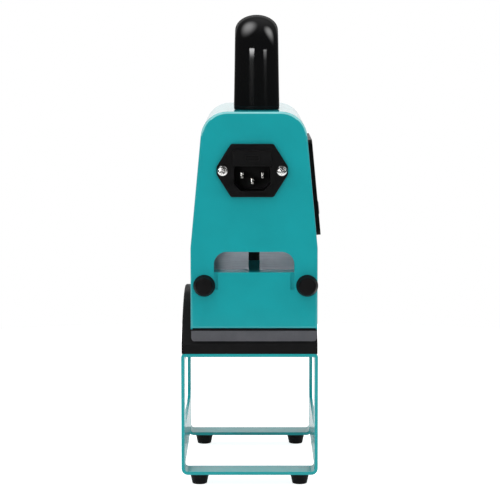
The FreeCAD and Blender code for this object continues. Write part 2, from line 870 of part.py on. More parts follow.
def make_housing():
    """The heater housing, an arched channel with a tab at each end, the spacer brackets and the sleeve."""
    outer = block(
        "housing_outer", "casing_width", "body_length", "housing_top - arch_centre",
        "head_offset", "0", "arch_centre",
    )
    inner = block(
        "housing_inner", "casing_width - 2 * housing_sheet", f"body_length + 2 * {OVERCUT}",
        "housing_top - arch_centre - housing_sheet", "head_offset", "0", "arch_centre",
    )
    arch = arch_cylinder("housing_arch", "housing_seat", f"casing_width + 2 * {OVERCUT}", "head_offset")
    stud_spots = ("stud_across", "stud_along", "head_offset")
    bracket_spots = ("bracket_across", "bracket_screw_along", "head_offset")
    sleeve_hole = "sleeve_diameter - 2 * sleeve_wall"
    under = f"housing_top - housing_sheet - {OVERCUT}"
    deep = f"housing_sheet + 2 * {OVERCUT}"
    holes = [
        rod(name, "screw_hole", deep, x, y, under)
        for label, spots in (("housing_stud_hole", stud_spots), ("housing_hole", bracket_spots))
        for name, x, y in four(label, *spots)
    ]
    holes.append(rod("housing_lead_hole", sleeve_hole, deep, "head_offset", "0", under))
    channel = cut("housing_cut", outer, inner, arch, *holes)
    tabs = [
        block(
            f"housing_tab{sign}", "tab_width", "housing_sheet", "tab_drop",
            "head_offset", f"{sign}tab_along", "housing_top - tab_drop",
        )
        for sign in BOTH
    ]
    finish("heater_housing", fuse("housing_folds", channel, *tabs))

    fold = prism("bracket_fold", "YZ_Plane", [
        ("0", "0"),
        ("bracket_flange", "0"),
        ("bracket_flange", "bracket_sheet"),
        ("bracket_sheet", "bracket_sheet"),
        ("bracket_sheet", "air_gap - bracket_sheet"),
        ("bracket_flange", "air_gap - bracket_sheet"),
        ("bracket_flange", "air_gap"),
        ("0", "air_gap"),
    ], "bracket_width")
    bolt_hole = rod(
        "bracket_hole", "screw_hole", f"air_gap + 2 * {OVERCUT}",
        "0", "(bracket_sheet + bracket_flange) / 2", f"-{OVERCUT}",
    )
    bracket = cut("bracket", fold, bolt_hole)
    brackets = []
    for name, x, y in four("bracket_copy", "bracket_across", "bracket_along", "head_offset"):
        rotation = UPRIGHT if name.endswith("near") else HALF_TURN
        brackets.append(copy(bracket, name, x, y, "housing_top", rotation))
    finish("spacer_brackets", group("bracket_group", brackets))

    lower_screw = screw("lower_screw", "bracket_sheet + housing_sheet + nut_height + thread_overrun")
    upper_screw = screw("upper_screw", "bracket_sheet + floor_sheet + nut_height + thread_overrun")
    bracket_nut = nut("bracket_nut")
    screws = []
    nuts = []
    for name, x, y in four("bracket_bolt", *bracket_spots):
        screws.append(copy(lower_screw, name + "_low", x, y, "housing_top + bracket_sheet", UPSIDE_DOWN))
        screws.append(copy(upper_screw, name + "_high", x, y, "casing_base - bracket_sheet"))
        nuts.append(copy(bracket_nut, name + "_low_nut", x, y, "housing_top - housing_sheet - nut_height"))
        nuts.append(copy(bracket_nut, name + "_high_nut", x, y, "floor_top"))
    finish("bracket_screws", group("bracket_screw_group", screws))
    finish("bracket_nuts", group("bracket_nut_group", nuts))

    tube = rod("sleeve_tube", "sleeve_diameter", "air_gap", "head_offset", "0", "housing_top")
    bore = rod(
        "sleeve_bore", sleeve_hole, f"air_gap + 2 * {OVERCUT}",
        "head_offset", "0", f"housing_top - {OVERCUT}",
    )
    finish("lead_sleeve", cut("sleeve_cut", tube, bore))


def make_casing():
    """The leaning wrapper, both end panels, the floor and the rubber bumpers."""
    wrap = prism("wrapper", "XZ_Plane", [
        ("-casing_width / 2", "casing_base"),
        ("-outer_shoulder", "casing_top"),
        ("outer_shoulder", "casing_top"),
        ("casing_width / 2", "casing_base"),
        ("inner_base", "casing_base"),
        ("inner_shoulder", "casing_top - casing_sheet"),
        ("-inner_shoulder", "casing_top - casing_sheet"),
        ("-inner_base", "casing_base"),
    ], "body_length")
    outer_top = value("casing_top")
    inner_top = value("casing_top - casing_sheet")
    round_edges(
        wrap, "wrapper_shoulders", "casing_shoulder",
        lambda edge: is_along(edge, "y") and at(edge, z=outer_top),
    )
    round_edges(
        wrap, "wrapper_inner_shoulders", "casing_shoulder - casing_sheet",
        lambda edge: is_along(edge, "y") and at(edge, z=inner_top)
        and abs(edge.Vertexes[0].X) > value("inner_shoulder") - CLOSE,
    )
    move(wrap, "head_offset")
    hatch_block = block(
        "hatch_block", "hatch_height", "hatch_length", f"2 * casing_sheet + {OVERCUT}", z="-2 * casing_sheet",
    )
    hatch = lean(group("hatch", [hatch_block]))
    screw_holes = [
        rod(
            f"wrapper_hole{sign}", "handle_screw_diameter + 2 * fit_gap", f"casing_sheet + 2 * {OVERCUT}",
            "handle_middle", f"{sign}handle_leg", f"casing_top - casing_sheet - {OVERCUT}",
        )
        for sign in BOTH
    ]
    finish("casing_wrapper", cut("wrapper_cut", wrap, hatch, *screw_holes))

    rounds = (
        ("shoulders", "casing_shoulder", "casing_top"),
        ("arch", "arch_corner", "arch_top"),
        ("tongue", "tongue_corner", "housing_top"),
        ("slots", "tongue_slot / 2 - fit_gap", "slot_foot"),
    )
    for label, side in (("inlet_end_panel", "-"), ("plain_end_panel", "")):
        sheet = prism(label + "_sheet", "XZ_Plane", [
            ("-casing_width / 2", "panel_bottom"),
            ("-casing_width / 2", "casing_base"),
            ("-outer_shoulder", "casing_top"),
            ("outer_shoulder", "casing_top"),
            ("casing_width / 2", "casing_base"),
            ("casing_width / 2", "panel_bottom"),
        ], "panel_sheet", [
            ("-arch_width / 2", "slot_foot"),
            ("-arch_width / 2", "arch_top"),
            ("arch_width / 2", "arch_top"),
            ("arch_width / 2", "slot_foot"),
            ("tongue_side", "slot_foot"),
            ("tongue_side", "housing_top"),
            ("-tongue_side", "housing_top"),
            ("-tongue_side", "slot_foot"),
        ])
        for part, radius, level in rounds:
            height = value(level)
            round_edges(
                sheet, f"{label}_{part}", radius,
                lambda edge: is_along(edge, "y") and at(edge, z=height),
            )
        outside = value(f"{side}panel_sheet / 2")
        round_edges(sheet, label + "_edges", "panel_edge", lambda edge: at(edge, y=outside))
        move(sheet, "head_offset", f"{side}(end_face - panel_sheet / 2)")
        deep = f"panel_sheet + {OVERCUT}"
        holes = [
            rod(spot, "screw_hole", f"2 * ({deep})", x, f"{y} - ({deep})", "bumper_level", ALONG_Y)
            for spot, x, y in four(label + "_bumper_hole", "bumper_across", "end_face", "bumper_middle")
        ]
        if label == "inlet_end_panel":
            holes.append(block(
                "inlet_opening", "inlet_width + 2 * fit_gap", f"2 * panel_sheet + 2 * {OVERCUT}",
                "inlet_height + 2 * fit_gap", "inlet_middle", "-end_face",
                "inlet_level - inlet_height / 2 - fit_gap",
            ))
            holes += inlet_screw_holes("panel", "-end_face")
        finish(label, cut(label + "_cut", sheet, *holes))

    floor = block(
        "floor_plate", "2 * (inner_base - floor_sheet * lean_slope - fit_gap)", "body_length", "floor_sheet",
        "head_offset", "0", "casing_base",
    )
    floor_holes = [
        rod(name, "screw_hole", f"floor_sheet + 2 * {OVERCUT}", x, y, f"casing_base - {OVERCUT}")
        for name, x, y in four("floor_hole", "bracket_across", "bracket_screw_along", "head_offset")
    ]
    floor_holes.append(rod(
        "floor_lead_hole", "sleeve_diameter - 2 * sleeve_wall", f"floor_sheet + 2 * {OVERCUT}",
        "head_offset", "0", f"casing_base - {OVERCUT}",
    ))
    post_hole = "small_screw_diameter + 2 * fit_gap"
    floor_holes += [
        rod(name, post_hole, f"floor_sheet + 2 * {OVERCUT}", x, y, f"casing_base - {OVERCUT}")
        for name, x, y in power_posts("floor_post_hole")
    ]
    finish("casing_floor", cut("floor_cut", floor, *floor_holes))

    stud_hole = "screw_hole / 2"
    bumper = lathe("bumper", [
        (stud_hole, "0"),
        ("bumper_base_diameter / 2", "0"),
        ("bumper_tip_diameter / 2", "bumper_length"),
        ("0", "bumper_length"),
        ("0", "bumper_stud_depth"),
        (stud_hole, "bumper_stud_depth"),
    ])
    stud = rod(
        "bumper_stud", "screw_diameter",
        "bumper_stud_depth + panel_sheet + nut_height + thread_overrun", z="-bumper_stud_depth",
    )
    stud_master = group("bumper_stud_master", [stud])
    bumper_nut = nut("bumper_nut")
    bumpers = []
    studs = []
    nuts = []
    for name, x, y in four("bumper_copy", "bumper_across", "end_face", "bumper_middle"):
        near = name.endswith("near")
        outward = AGAINST_Y if near else ALONG_Y
        inward = ALONG_Y if near else AGAINST_Y
        nut_seat = "-body_length / 2" if near else "body_length / 2"
        bumpers.append(copy(bumper, name, x, y, "bumper_level", outward))
        studs.append(copy(stud_master, name + "_stud", x, y, "bumper_level", inward))
        nuts.append(copy(bumper_nut, name + "_nut", x, nut_seat, "bumper_level", inward))
    finish("end_bumpers", group("bumper_group", bumpers))
    finish("bumper_studs", group("bumper_stud_group", studs))
    finish("bumper_nuts", group("bumper_nut_group", nuts))


def make_handle():
    """The bridge handle, the pads under its legs and the screws from inside the casing."""
    grip = doc.addObject("PartDesign::Body", "grip")
    path = sketch_on(grip, "YZ_Plane", "grip_path")
    corners = [
        ("-handle_leg", "0"),
        ("-handle_leg", "handle_line"),
        ("handle_leg", "handle_line"),
        ("handle_leg", "0"),
    ]
    route(path, corners, "handle_bend - handle_thickness / 2")
    sections = []
    for name, role, width, up in (
        ("near_foot", "XY_Plane", "handle_foot_width", "-handle_leg"),
        ("grip_middle", "XZ_Plane", "handle_grip_width", "handle_line"),
        ("far_foot", "XY_Plane", "handle_foot_width", "handle_leg"),
    ):
        section = sketch_on(grip, role, name + "_section")
        oval(section, width, "handle_thickness", up)
        sections.append(section)
    sweep = pipe(grip, "grip_sweep", sections[0], path)
    sweep.Sections = sections[1:]
    sweep.Transformation = "Multisection"
    move(grip, "handle_middle", "0", "handle_foot")
    bores = [
        rod(
            f"grip_bore{sign}", "handle_screw_diameter + 2 * fit_gap", f"handle_screw_depth + 2 * {OVERCUT}",
            "handle_middle", f"{sign}handle_leg", f"handle_foot - {OVERCUT}",
        )
        for sign in BOTH
    ]
    finish("handle", cut("handle_cut", grip, *bores))

    plate = doc.addObject("PartDesign::Body", "handle_pad_plate")
    outline = sketch_on(plate, "XY_Plane", "handle_pad_outline")
    oval(outline, "handle_foot_width - 2 * handle_pad_inset", "handle_thickness - 2 * handle_pad_inset", "0")
    pad_evenly(plate, outline, "handle_pad_thickness")
    hole = rod(
        "handle_pad_hole", "handle_screw_diameter + 2 * fit_gap", f"handle_pad_thickness + 2 * {OVERCUT}",
        z=f"-handle_pad_thickness / 2 - {OVERCUT}",
    )
    pad = cut("handle_pad", plate, hole)
    bolt = screw(
        "handle_bolt", "washer_thickness + casing_sheet + handle_pad_thickness + handle_screw_depth",
        "handle_screw_diameter", "handle_screw_head", "handle_screw_head_height",
    )
    washer = cut(
        "washer",
        rod("washer_blank", "washer_diameter", "washer_thickness"),
        rod(
            "washer_bore", "handle_screw_diameter + 2 * fit_gap", f"washer_thickness + 2 * {OVERCUT}",
            z=f"-{OVERCUT}",
        ),
    )
    seat = "casing_top - casing_sheet - washer_thickness"
    for label, master, level in (
        ("handle_pads", pad, "casing_top + handle_pad_thickness / 2"),
        ("handle_screws", bolt, seat),
        ("handle_washers", washer, seat),
    ):
        copies = [
            copy(master, f"{label}_copy{sign}", "handle_middle", f"{sign}handle_leg", level)
            for sign in BOTH
        ]
        finish(label, group(label + "_group", copies))


def inlet_screw_holes(name, face):
    """Two holes through a face for the screws of the mains inlet."""
    deep = f"flange_thickness + panel_sheet + {OVERCUT}"
    return [
        rod(
            f"{name}_inlet_hole{sign}", "inlet_screw_diameter + 2 * fit_gap", f"2 * ({deep})",
            f"inlet_middle {sign or '+'} inlet_pitch / 2", f"{face} - ({deep})", "inlet_level", ALONG_Y,
        )
        for sign in BOTH
    ]


def make_inlet():
    """The mains inlet with its pins and screws, and the fuse drawer above the socket."""
    top = "flange_height / 2"
    nose = "flange_width / 2"
    flange = prism("inlet_flange", "XZ_Plane", [
        ("-flange_flat / 2", top),
        ("flange_flat / 2", top),
        (nose, "flange_nose / 2"),
        (nose, "-flange_nose / 2"),
        ("flange_flat / 2", f"-{top}"),
        ("-flange_flat / 2", f"-{top}"),
        (f"-{nose}", "-flange_nose / 2"),
        (f"-{nose}", "flange_nose / 2"),
    ], "flange_thickness")
    round_edges(flange, "inlet_flange_round", "flange_round", lambda edge: is_along(edge, "y"))
    move(flange, "inlet_middle", "-end_face - flange_thickness / 2", "inlet_level")
    core = block(
        "inlet_core", "inlet_width", "inlet_depth", "inlet_height",
        "inlet_middle", "-end_face + inlet_depth / 2", "inlet_level - inlet_height / 2",
    )
    half = "socket_width / 2"
    depth = "flange_thickness + inlet_depth - inlet_floor"
    socket = prism("inlet_socket", "XZ_Plane", [
        (f"-{half}", "socket_height / 2"),
        (half, "socket_height / 2"),
        (half, "socket_chamfer - socket_height / 2"),
        (f"{half} - socket_chamfer", "-socket_height / 2"),
        (f"socket_chamfer - {half}", "-socket_height / 2"),
        (f"-{half}", "socket_chamfer - socket_height / 2"),
    ], f"2 * ({depth})")
    move(socket, "inlet_middle", "inlet_front", "socket_level")
    slot = block(
        "drawer_slot", "drawer_width + 2 * drawer_gap", f"2 * (flange_thickness + drawer_depth + {OVERCUT})",
        "drawer_height + 2 * drawer_gap", "inlet_middle", "inlet_front",
        "drawer_level - drawer_height / 2 - drawer_gap",
    )
    pin_spots = (
        ("live", "-pin_pitch / 2", "socket_level + pin_rise"),
        ("neutral", "pin_pitch / 2", "socket_level + pin_rise"),
        ("earth", "0", "socket_level + pin_rise - earth_drop"),
    )
    pin_length = "pin_end - inlet_front - pin_recess"
    pin_middle = "(pin_end + inlet_front + pin_recess) / 2"

    def blades(prefix, gap):
        return [
            block(
                f"{prefix}_{name}", f"pin_thickness + 2 * {gap}", pin_length, f"pin_width + 2 * {gap}",
                f"inlet_middle + {x}", pin_middle, f"{z} - pin_width / 2 - {gap}",
            )
            for name, x, z in pin_spots
        ]

    holes = inlet_screw_holes("flange", "-end_face")
    shell = fuse("inlet_shell", flange, core)
    finish("inlet_body", cut("inlet_cut", shell, socket, slot, *blades("pin_slot", "fit_gap"), *holes))
    finish("inlet_pins", group("pin_group", blades("pin", "0")))

    inlet_screw = screw(
        "inlet_screw", "flange_thickness + panel_sheet + inlet_nut_height + thread_overrun",
        "inlet_screw_diameter", "inlet_screw_head", "inlet_screw_head_height",
    )
    inlet_nut = nut("inlet_nut", "inlet_nut_flats", "inlet_nut_height", "inlet_screw_diameter")
    for label, master, seat in (
        ("inlet_screws", inlet_screw, "inlet_front"),
        ("inlet_nuts", inlet_nut, "-end_face + panel_sheet"),
    ):
        copies = [
            copy(
                master, f"{label}_copy{sign}", f"inlet_middle {sign or '+'} inlet_pitch / 2", seat,
                "inlet_level", ALONG_Y,
            )
            for sign in BOTH
        ]
        finish(label, group(label + "_group", copies))

    face = block(
        "drawer_face", "drawer_face_width", "drawer_face_thickness", "drawer_face_height", "inlet_middle",
        "inlet_front - drawer_gap - drawer_face_thickness / 2", "drawer_level - drawer_face_height / 2",
    )
    tray = block(
        "drawer_tray", "drawer_width", "drawer_depth + drawer_gap", "drawer_height", "inlet_middle",
        "inlet_front + (drawer_depth - drawer_gap) / 2", "drawer_level - drawer_height / 2",
    )
    fuse_level = "drawer_level - drawer_height / 2 + drawer_floor + fuse_diameter / 2 + fit_gap"
    fuse_place = "inlet_front + drawer_depth / 2"
    trough = block(
        "drawer_trough", "fuse_length + 2 * drawer_gap", "fuse_diameter + 2 * drawer_gap", "drawer_height",
        "inlet_middle", fuse_place, "drawer_level - drawer_height / 2 + drawer_floor",
    )
    finish("fuse_drawer", cut("drawer_cut", fuse("drawer_solid", face, tray), trough))
    left_end = "inlet_middle - fuse_length / 2"
    finish("fuse", fuse(
        "fuse_link",
        rod("fuse_glass", "fuse_glass_diameter", "fuse_length", left_end, fuse_place, fuse_level, ALONG_X),
        rod("fuse_left_cap", "fuse_diameter", "fuse_cap_length", left_end, fuse_place, fuse_level, ALONG_X),
        rod(
            "fuse_right_cap", "fuse_diameter", "fuse_cap_length",
            f"{left_end} + fuse_length - fuse_cap_length", fuse_place, fuse_level, ALONG_X,
        ),
    ))


KEYS = (
    ("power_key", "-1.5"),
    ("mode_key", "-0.5"),
    ("down_key", "0.5"),
    ("up_key", "1.5"),
)


def make_control_panel():
    """The bezel on the leaning wall, its window and keys, and the board behind them."""
    plate = rounded_plate("bezel_plate", "bezel_height", "bezel_length", "bezel_thickness", "bezel_corner")
    move(plate, z="bezel_thickness / 2")
    tall = f"bezel_thickness + 2 * {OVERCUT}"
    openings = [
        block("bezel_display", "display_height", "display_length", tall, "-display_rise", "0", f"-{OVERCUT}"),
    ]
    for name, steps in KEYS:
        opening = rounded_plate(f"{name}_opening", "key_height", "key_length", tall, "key_round")
        openings.append(move(opening, "key_drop", f"{steps} * key_pitch", "bezel_thickness / 2"))
    finish("control_bezel", lean(cut("bezel_cut", plate, *openings)))

    pane = block(
        "window_pane", "display_height - 2 * fit_gap", "display_length - 2 * fit_gap",
        "bezel_thickness - display_sink + fit_gap", "-display_rise", "0", "-fit_gap",
    )
    lip = block(
        "window_lip", "display_height + 2 * display_lip", "display_length + 2 * display_lip",
        "display_lip_thickness", "-display_rise", "0", "-fit_gap - display_lip_thickness",
    )
    finish("display_window", lean(fuse("window_solid", pane, lip)))
    module = block(
        "module_block", "module_height", "module_length", "module_thickness",
        "-display_rise", "0", "-board_depth",
    )
    finish("display_module", lean(group("module_solid", [module])))

    post_spots = ("post_pitch_across / 2", "post_pitch_along / 2")
    screw_bore = "small_screw_diameter + 2 * fit_gap"
    board = block("board_sheet_block", "board_height", "board_length", "board_sheet", z="board_back")
    bores = [
        rod(name, screw_bore, f"board_sheet + 2 * {OVERCUT}", x, y, f"board_back - {OVERCUT}")
        for name, x, y in four("board_hole", *post_spots)
    ]
    finish("control_board", lean(cut("board_cut", board, *bores)))
    post = cut(
        "board_post",
        rod("board_post_blank", "post_diameter", "board_depth", z="-board_depth"),
        rod(
            "board_post_bore", screw_bore, f"small_screw_bite + {OVERCUT} + thread_overrun",
            z=f"-board_depth - {OVERCUT}",
        ),
    )
    board_screw = screw(
        "board_screw", "board_sheet + small_screw_bite",
        "small_screw_diameter", "small_screw_head", "small_screw_head_height",
    )
    posts = [copy(post, name, x, y) for name, x, y in four("board_post_copy", *post_spots)]
    finish("board_posts", lean(group("board_post_group", posts)))
    screws = [
        copy(board_screw, name, x, y, "board_back")
        for name, x, y in four("board_screw_copy", *post_spots)
    ]
    finish("board_screws", lean(group("board_screw_group", screws)))

    switches = []
    for name, steps in KEYS:
        spot = ("key_drop", f"{steps} * key_pitch")
        cap = rounded_plate(
            f"{name}_cap", "key_height - 2 * key_gap", "key_length - 2 * key_gap",
            "bezel_thickness + key_proud + fit_gap", "key_round - key_gap",
        )
        move(cap, *spot, "(bezel_thickness + key_proud - fit_gap) / 2")
        flange = block(
            f"{name}_lip", "key_height + 2 * key_lip", "key_length + 2 * key_lip", "key_lip_thickness",
            *spot, "-fit_gap - key_lip_thickness",
        )
        stem = rod(f"{name}_stem", "key_stem_diameter", f"key_stem_length + {OVERCUT}", *spot, "key_foot")
        finish(name, lean(fuse(f"{name}_solid", cap, flange, stem)))
        base = (*spot, "-board_depth")
        can = block(f"{name}_switch_can", "switch_width", "switch_width", "switch_height", *base)
        plunger = rod(f"{name}_plunger", "plunger_diameter", "plunger_top + board_depth", *base)
        switches.append(fuse(f"{name}_switch", can, plunger))
    finish("key_switches", lean(group("switch_group", switches)))

    height = "(bezel_level - power_board_top) / cos(casing_lean * 1 deg)"
    drop = f"{height} - lead_depth * lean_slope"
    control_lead = lead(
        "control_lead_body", "XZ_Plane", "XY_Plane",
        [("0", "0"), ("0", "-control_lead_reach"), (drop, "-control_lead_reach")],
        "control_lead_diameter", "control_lead_bend",
    )
    move(control_lead, z="board_back")
    finish("control_lead", lean(group("control_lead_run", [control_lead])))


def power_posts(name):
    return four(name, "power_post_across", "power_post_along", "power_board_across", "power_board_along")


def make_power_board():
    """The power board on its posts, what it carries, and the leads from the inlet."""
    across = "power_board_across"
    along = "power_board_along"
    bore = "small_screw_diameter + 2 * fit_gap"
    board = block(
        "power_board_block", "power_board_width", "power_board_length", "board_sheet", across, along,
        "power_board_top - board_sheet",
    )
    holes = [
        rod(name, bore, f"board_sheet + 2 * {OVERCUT}", x, y, f"power_board_top - board_sheet - {OVERCUT}")
        for name, x, y in power_posts("power_board_hole")
    ]
    finish("power_board", cut("power_board_cut", board, *holes))
    post = cut(
        "power_post",
        rod("power_post_blank", "post_diameter", "power_board_lift"),
        rod("power_post_bore", bore, f"power_board_lift + 2 * {OVERCUT}", z=f"-{OVERCUT}"),
    )
    posts = [copy(post, name, x, y, "floor_top") for name, x, y in power_posts("power_post_copy")]
    finish("power_board_posts", group("power_post_group", posts))
    long_screw = screw(
        "power_screw", "board_sheet + power_board_lift + floor_sheet",
        "small_screw_diameter", "small_screw_head", "small_screw_head_height",
    )
    screws = [
        copy(long_screw, name, x, y, "power_board_top", UPSIDE_DOWN)
        for name, x, y in power_posts("power_screw_copy")
    ]
    finish("power_board_screws", group("power_screw_group", screws))

    finish("transformer", block(
        "transformer_block", "transformer_width", "transformer_length", "transformer_height",
        "transformer_across", f"{along} + transformer_along", "power_board_top",
    ))
    finish("relay", block(
        "relay_block", "relay_width", "relay_length", "relay_height",
        f"{across} + relay_across", f"{along} + relay_along", "power_board_top",
    ))
    finish("buzzer", rod(
        "buzzer_can", "buzzer_diameter", "buzzer_height",
        f"{across} + buzzer_across", f"{along} + buzzer_along", "power_board_top",
    ))
    finish("terminal_block", block(
        "terminal_body", "terminal_width", "terminal_length", "terminal_height",
        "inlet_middle", "terminal_place", "power_board_top",
    ))
    mains = lead(
        "mains_lead", "YZ_Plane", "XZ_Plane",
        [
            ("0", "0"),
            ("terminal_reach", "0"),
            ("terminal_reach", "terminal_top - socket_level - pin_rise"),
        ],
        "lead_diameter", "lead_bend",
    )
    leads = [
        copy(mains, f"mains_lead_copy{sign}", f"inlet_middle {sign or '+'} pin_pitch / 2", "pin_end",
             "socket_level + pin_rise")
        for sign in BOTH
    ]
    finish("mains_leads", group("mains_lead_group", leads))


def write_parts():
    """Check every object, then write each piece to its own file."""
    doc.recompute()
    faults = [item.Label for item in doc.Objects if {"Invalid", "Error"} & set(item.State)]
    if faults:
        raise RuntimeError("These objects failed: " + ", ".join(faults))
    for item in nodes:
        shape = item.Shape
        if shape.isNull() or not shape.isValid() or not shape.Solids:
            raise RuntimeError("This piece has no sound shape: " + item.Label)
    os.makedirs("parts", exist_ok=True)
    for item in nodes:
        item.Shape.exportStep(f"parts/{item.Label}.step")


make_stand()
make_pad()
make_platen()
make_housing()
make_casing()
make_handle()
make_inlet()
make_control_panel()
make_power_board()
write_parts()
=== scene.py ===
"""Looks of a hand-held cap press on its stand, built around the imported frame."""
import json
import math

import bmesh
import bpy
from bpy.props import FloatProperty, FloatVectorProperty, IntProperty, PointerProperty
from mathutils import Matrix, Vector


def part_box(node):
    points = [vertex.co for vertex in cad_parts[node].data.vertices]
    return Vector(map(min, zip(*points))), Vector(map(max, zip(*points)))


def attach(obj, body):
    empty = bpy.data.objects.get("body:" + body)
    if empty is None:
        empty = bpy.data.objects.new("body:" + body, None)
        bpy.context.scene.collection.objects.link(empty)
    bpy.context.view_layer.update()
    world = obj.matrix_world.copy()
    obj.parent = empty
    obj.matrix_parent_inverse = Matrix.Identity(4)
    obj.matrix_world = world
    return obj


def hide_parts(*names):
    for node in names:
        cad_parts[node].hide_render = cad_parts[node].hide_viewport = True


bl_info = {
    "name": "Cap press",
    "version": (1, 0, 0),
    "blender": (4, 5, 0),
    "location": "3D View > Sidebar > Cap press",
    "description": "Dresses the packed frame of a hand-held cap press on its stand",
    "category": "Object",
}

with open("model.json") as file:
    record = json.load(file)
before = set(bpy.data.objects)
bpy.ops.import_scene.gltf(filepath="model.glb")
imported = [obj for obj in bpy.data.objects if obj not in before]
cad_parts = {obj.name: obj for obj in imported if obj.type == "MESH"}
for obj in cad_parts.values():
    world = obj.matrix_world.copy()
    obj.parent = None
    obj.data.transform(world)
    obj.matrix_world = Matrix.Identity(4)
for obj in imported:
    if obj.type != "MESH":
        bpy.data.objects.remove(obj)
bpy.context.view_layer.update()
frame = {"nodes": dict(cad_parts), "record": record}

MM = 0.001
MERGE = 1e-6
# How far apart points may lie that count as level with each other,
# and as meeting at a bend or a mirror's seam.
NEAR, SEAM = 10 * MERGE, 5 * MERGE
QUARTER = math.pi / 2
# Angles, in degrees, above which an edge shades sharp: on most pieces, and on screws.
SMOOTH, CRISP = 40, 30
# Angle, in radians, above which an edge counts as sharp and can be rounded.
SHARP = 0.9
STAND_LOW, STAND_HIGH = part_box("stand_frame")
PAD_LOW, PAD_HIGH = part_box("silicone_pad")
PLATEN_LOW, PLATEN_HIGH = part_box("heating_platen")
PANEL_LOW, PANEL_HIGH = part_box("inlet_end_panel")
CASING_LOW, CASING_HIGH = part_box("casing_wrapper")
HANDLE_LOW, HANDLE_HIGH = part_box("handle")
FOOT_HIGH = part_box("stand_feet")[1]
BUMPER_LOW, BUMPER_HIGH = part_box("end_bumpers")
INLET_LOW, INLET_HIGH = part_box("inlet_body")
PIN_LOW, PIN_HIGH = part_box("inlet_pins")
SCREW_LOW, SCREW_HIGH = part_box("inlet_screws")
DRAWER_LOW, DRAWER_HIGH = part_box("fuse_drawer")
HANDLE_PAD_LOW, HANDLE_PAD_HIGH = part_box("handle_pads")
HOUSING_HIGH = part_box("heater_housing")[1]
HEAD_MIDDLE = (PANEL_LOW.x + PANEL_HIGH.x) / 2

# Turns a shape drawn flat, X across and Y up, so that it stands and faces the inlet end.
STANDING = Matrix.Rotation(QUARTER, 4, "X")


def length(name, description, metres):
    """A size in metres that a user may change."""
    return FloatProperty(
        name=name, description=description, default=metres, min=0.0, unit="LENGTH", precision=5
    )


def strength(name, description, share):
    """A level of light that a user may change."""
    return FloatProperty(name=name, description=description, default=share, min=0.0)


def facets(name, description, number, least, most):
    """A number of facets that a user may change."""
    return IntProperty(name=name, description=description, default=number, min=least, max=most)


def tint(name, description, colour):
    """A linear colour that a user may change."""
    return FloatVectorProperty(
        name=name, description=description, default=colour, min=0.0, max=1.0, size=3, subtype="COLOR"
    )


class StandSizes(bpy.types.PropertyGroup):
    """Sizes of the folded stand and its feet."""

    sheet: length("Sheet", "Thickness of the stand's steel sheet", 2.2 * MM)
    bend: length("Bend", "Outer radius of the stand's lower bends", 4.4 * MM)
    top_bend: length("Top bend", "Outer radius of the stand's upper bends", 2.5 * MM)
    bar: length("Bar", "Width of the bar at each end of the stand", 20.8 * MM)
    window_foot: length("Window foot", "Height of the side windows' lower edge", STAND_LOW.z + 29.5 * MM)
    window_head: length("Window head", "Height of the side windows' upper edge", STAND_HIGH.z - 9 * MM)
    window_corner: length("Window corner", "Corner radius of the side windows", 9 * MM)
    well_head: length("Well head", "Height where the open bottom ends in the sides", STAND_LOW.z + 4.4 * MM)
    well_corner: length("Well corner", "Corner radius of the open bottom", 3 * MM)
    edge: length("Edge", "Rounding of the sheet's cut edges", 0.35 * MM)
    foot_head: length("Foot head", "Diameter of a foot under the bar", 13.8 * MM)
    foot_base: length("Foot base", "Diameter of a foot on the floor", 10.3 * MM)
    foot_recess: length("Foot recess", "Radius of the screw recess in a foot", 3.9 * MM)
    foot_web: length("Foot web", "Rubber left between the screw head and the bar", 2.2 * MM)
    foot_screw: length("Foot screw", "Radius of a foot screw's head", 3.6 * MM)
    foot_screw_rise: length("Foot screw rise", "Height of a foot screw's head", 2.6 * MM)
    foot_screw_shank: length("Foot screw shank", "Radius of a foot screw's shank", 1.5 * MM)
    foot_screw_reach: length("Foot screw reach", "Length of a foot screw's shank", 4 * MM)


class PadSizes(bpy.types.PropertyGroup):
    """Sizes of the arched pad and of the platen that rests on it."""

    edge_height: length("Edge height", "Height of the pad at its two ends", 6.7 * MM)
    edge: length("Edge", "Rounding of the pad's edges", 1.3 * MM)
    rest_gap: length("Rest gap", "Air between the pad and the platen", 0.3 * MM)
    platen: length("Platen", "Thickness of the platen", 5.6 * MM)
    platen_edge: length("Platen edge", "Rounding of the platen's lower edges", 2 * MM)
    platen_cut: length("Platen cut", "Rounding of the platen's other edges", 0.4 * MM)
    arc_steps: facets("Arc steps", "Facets along the arch", 48, 12, 128)


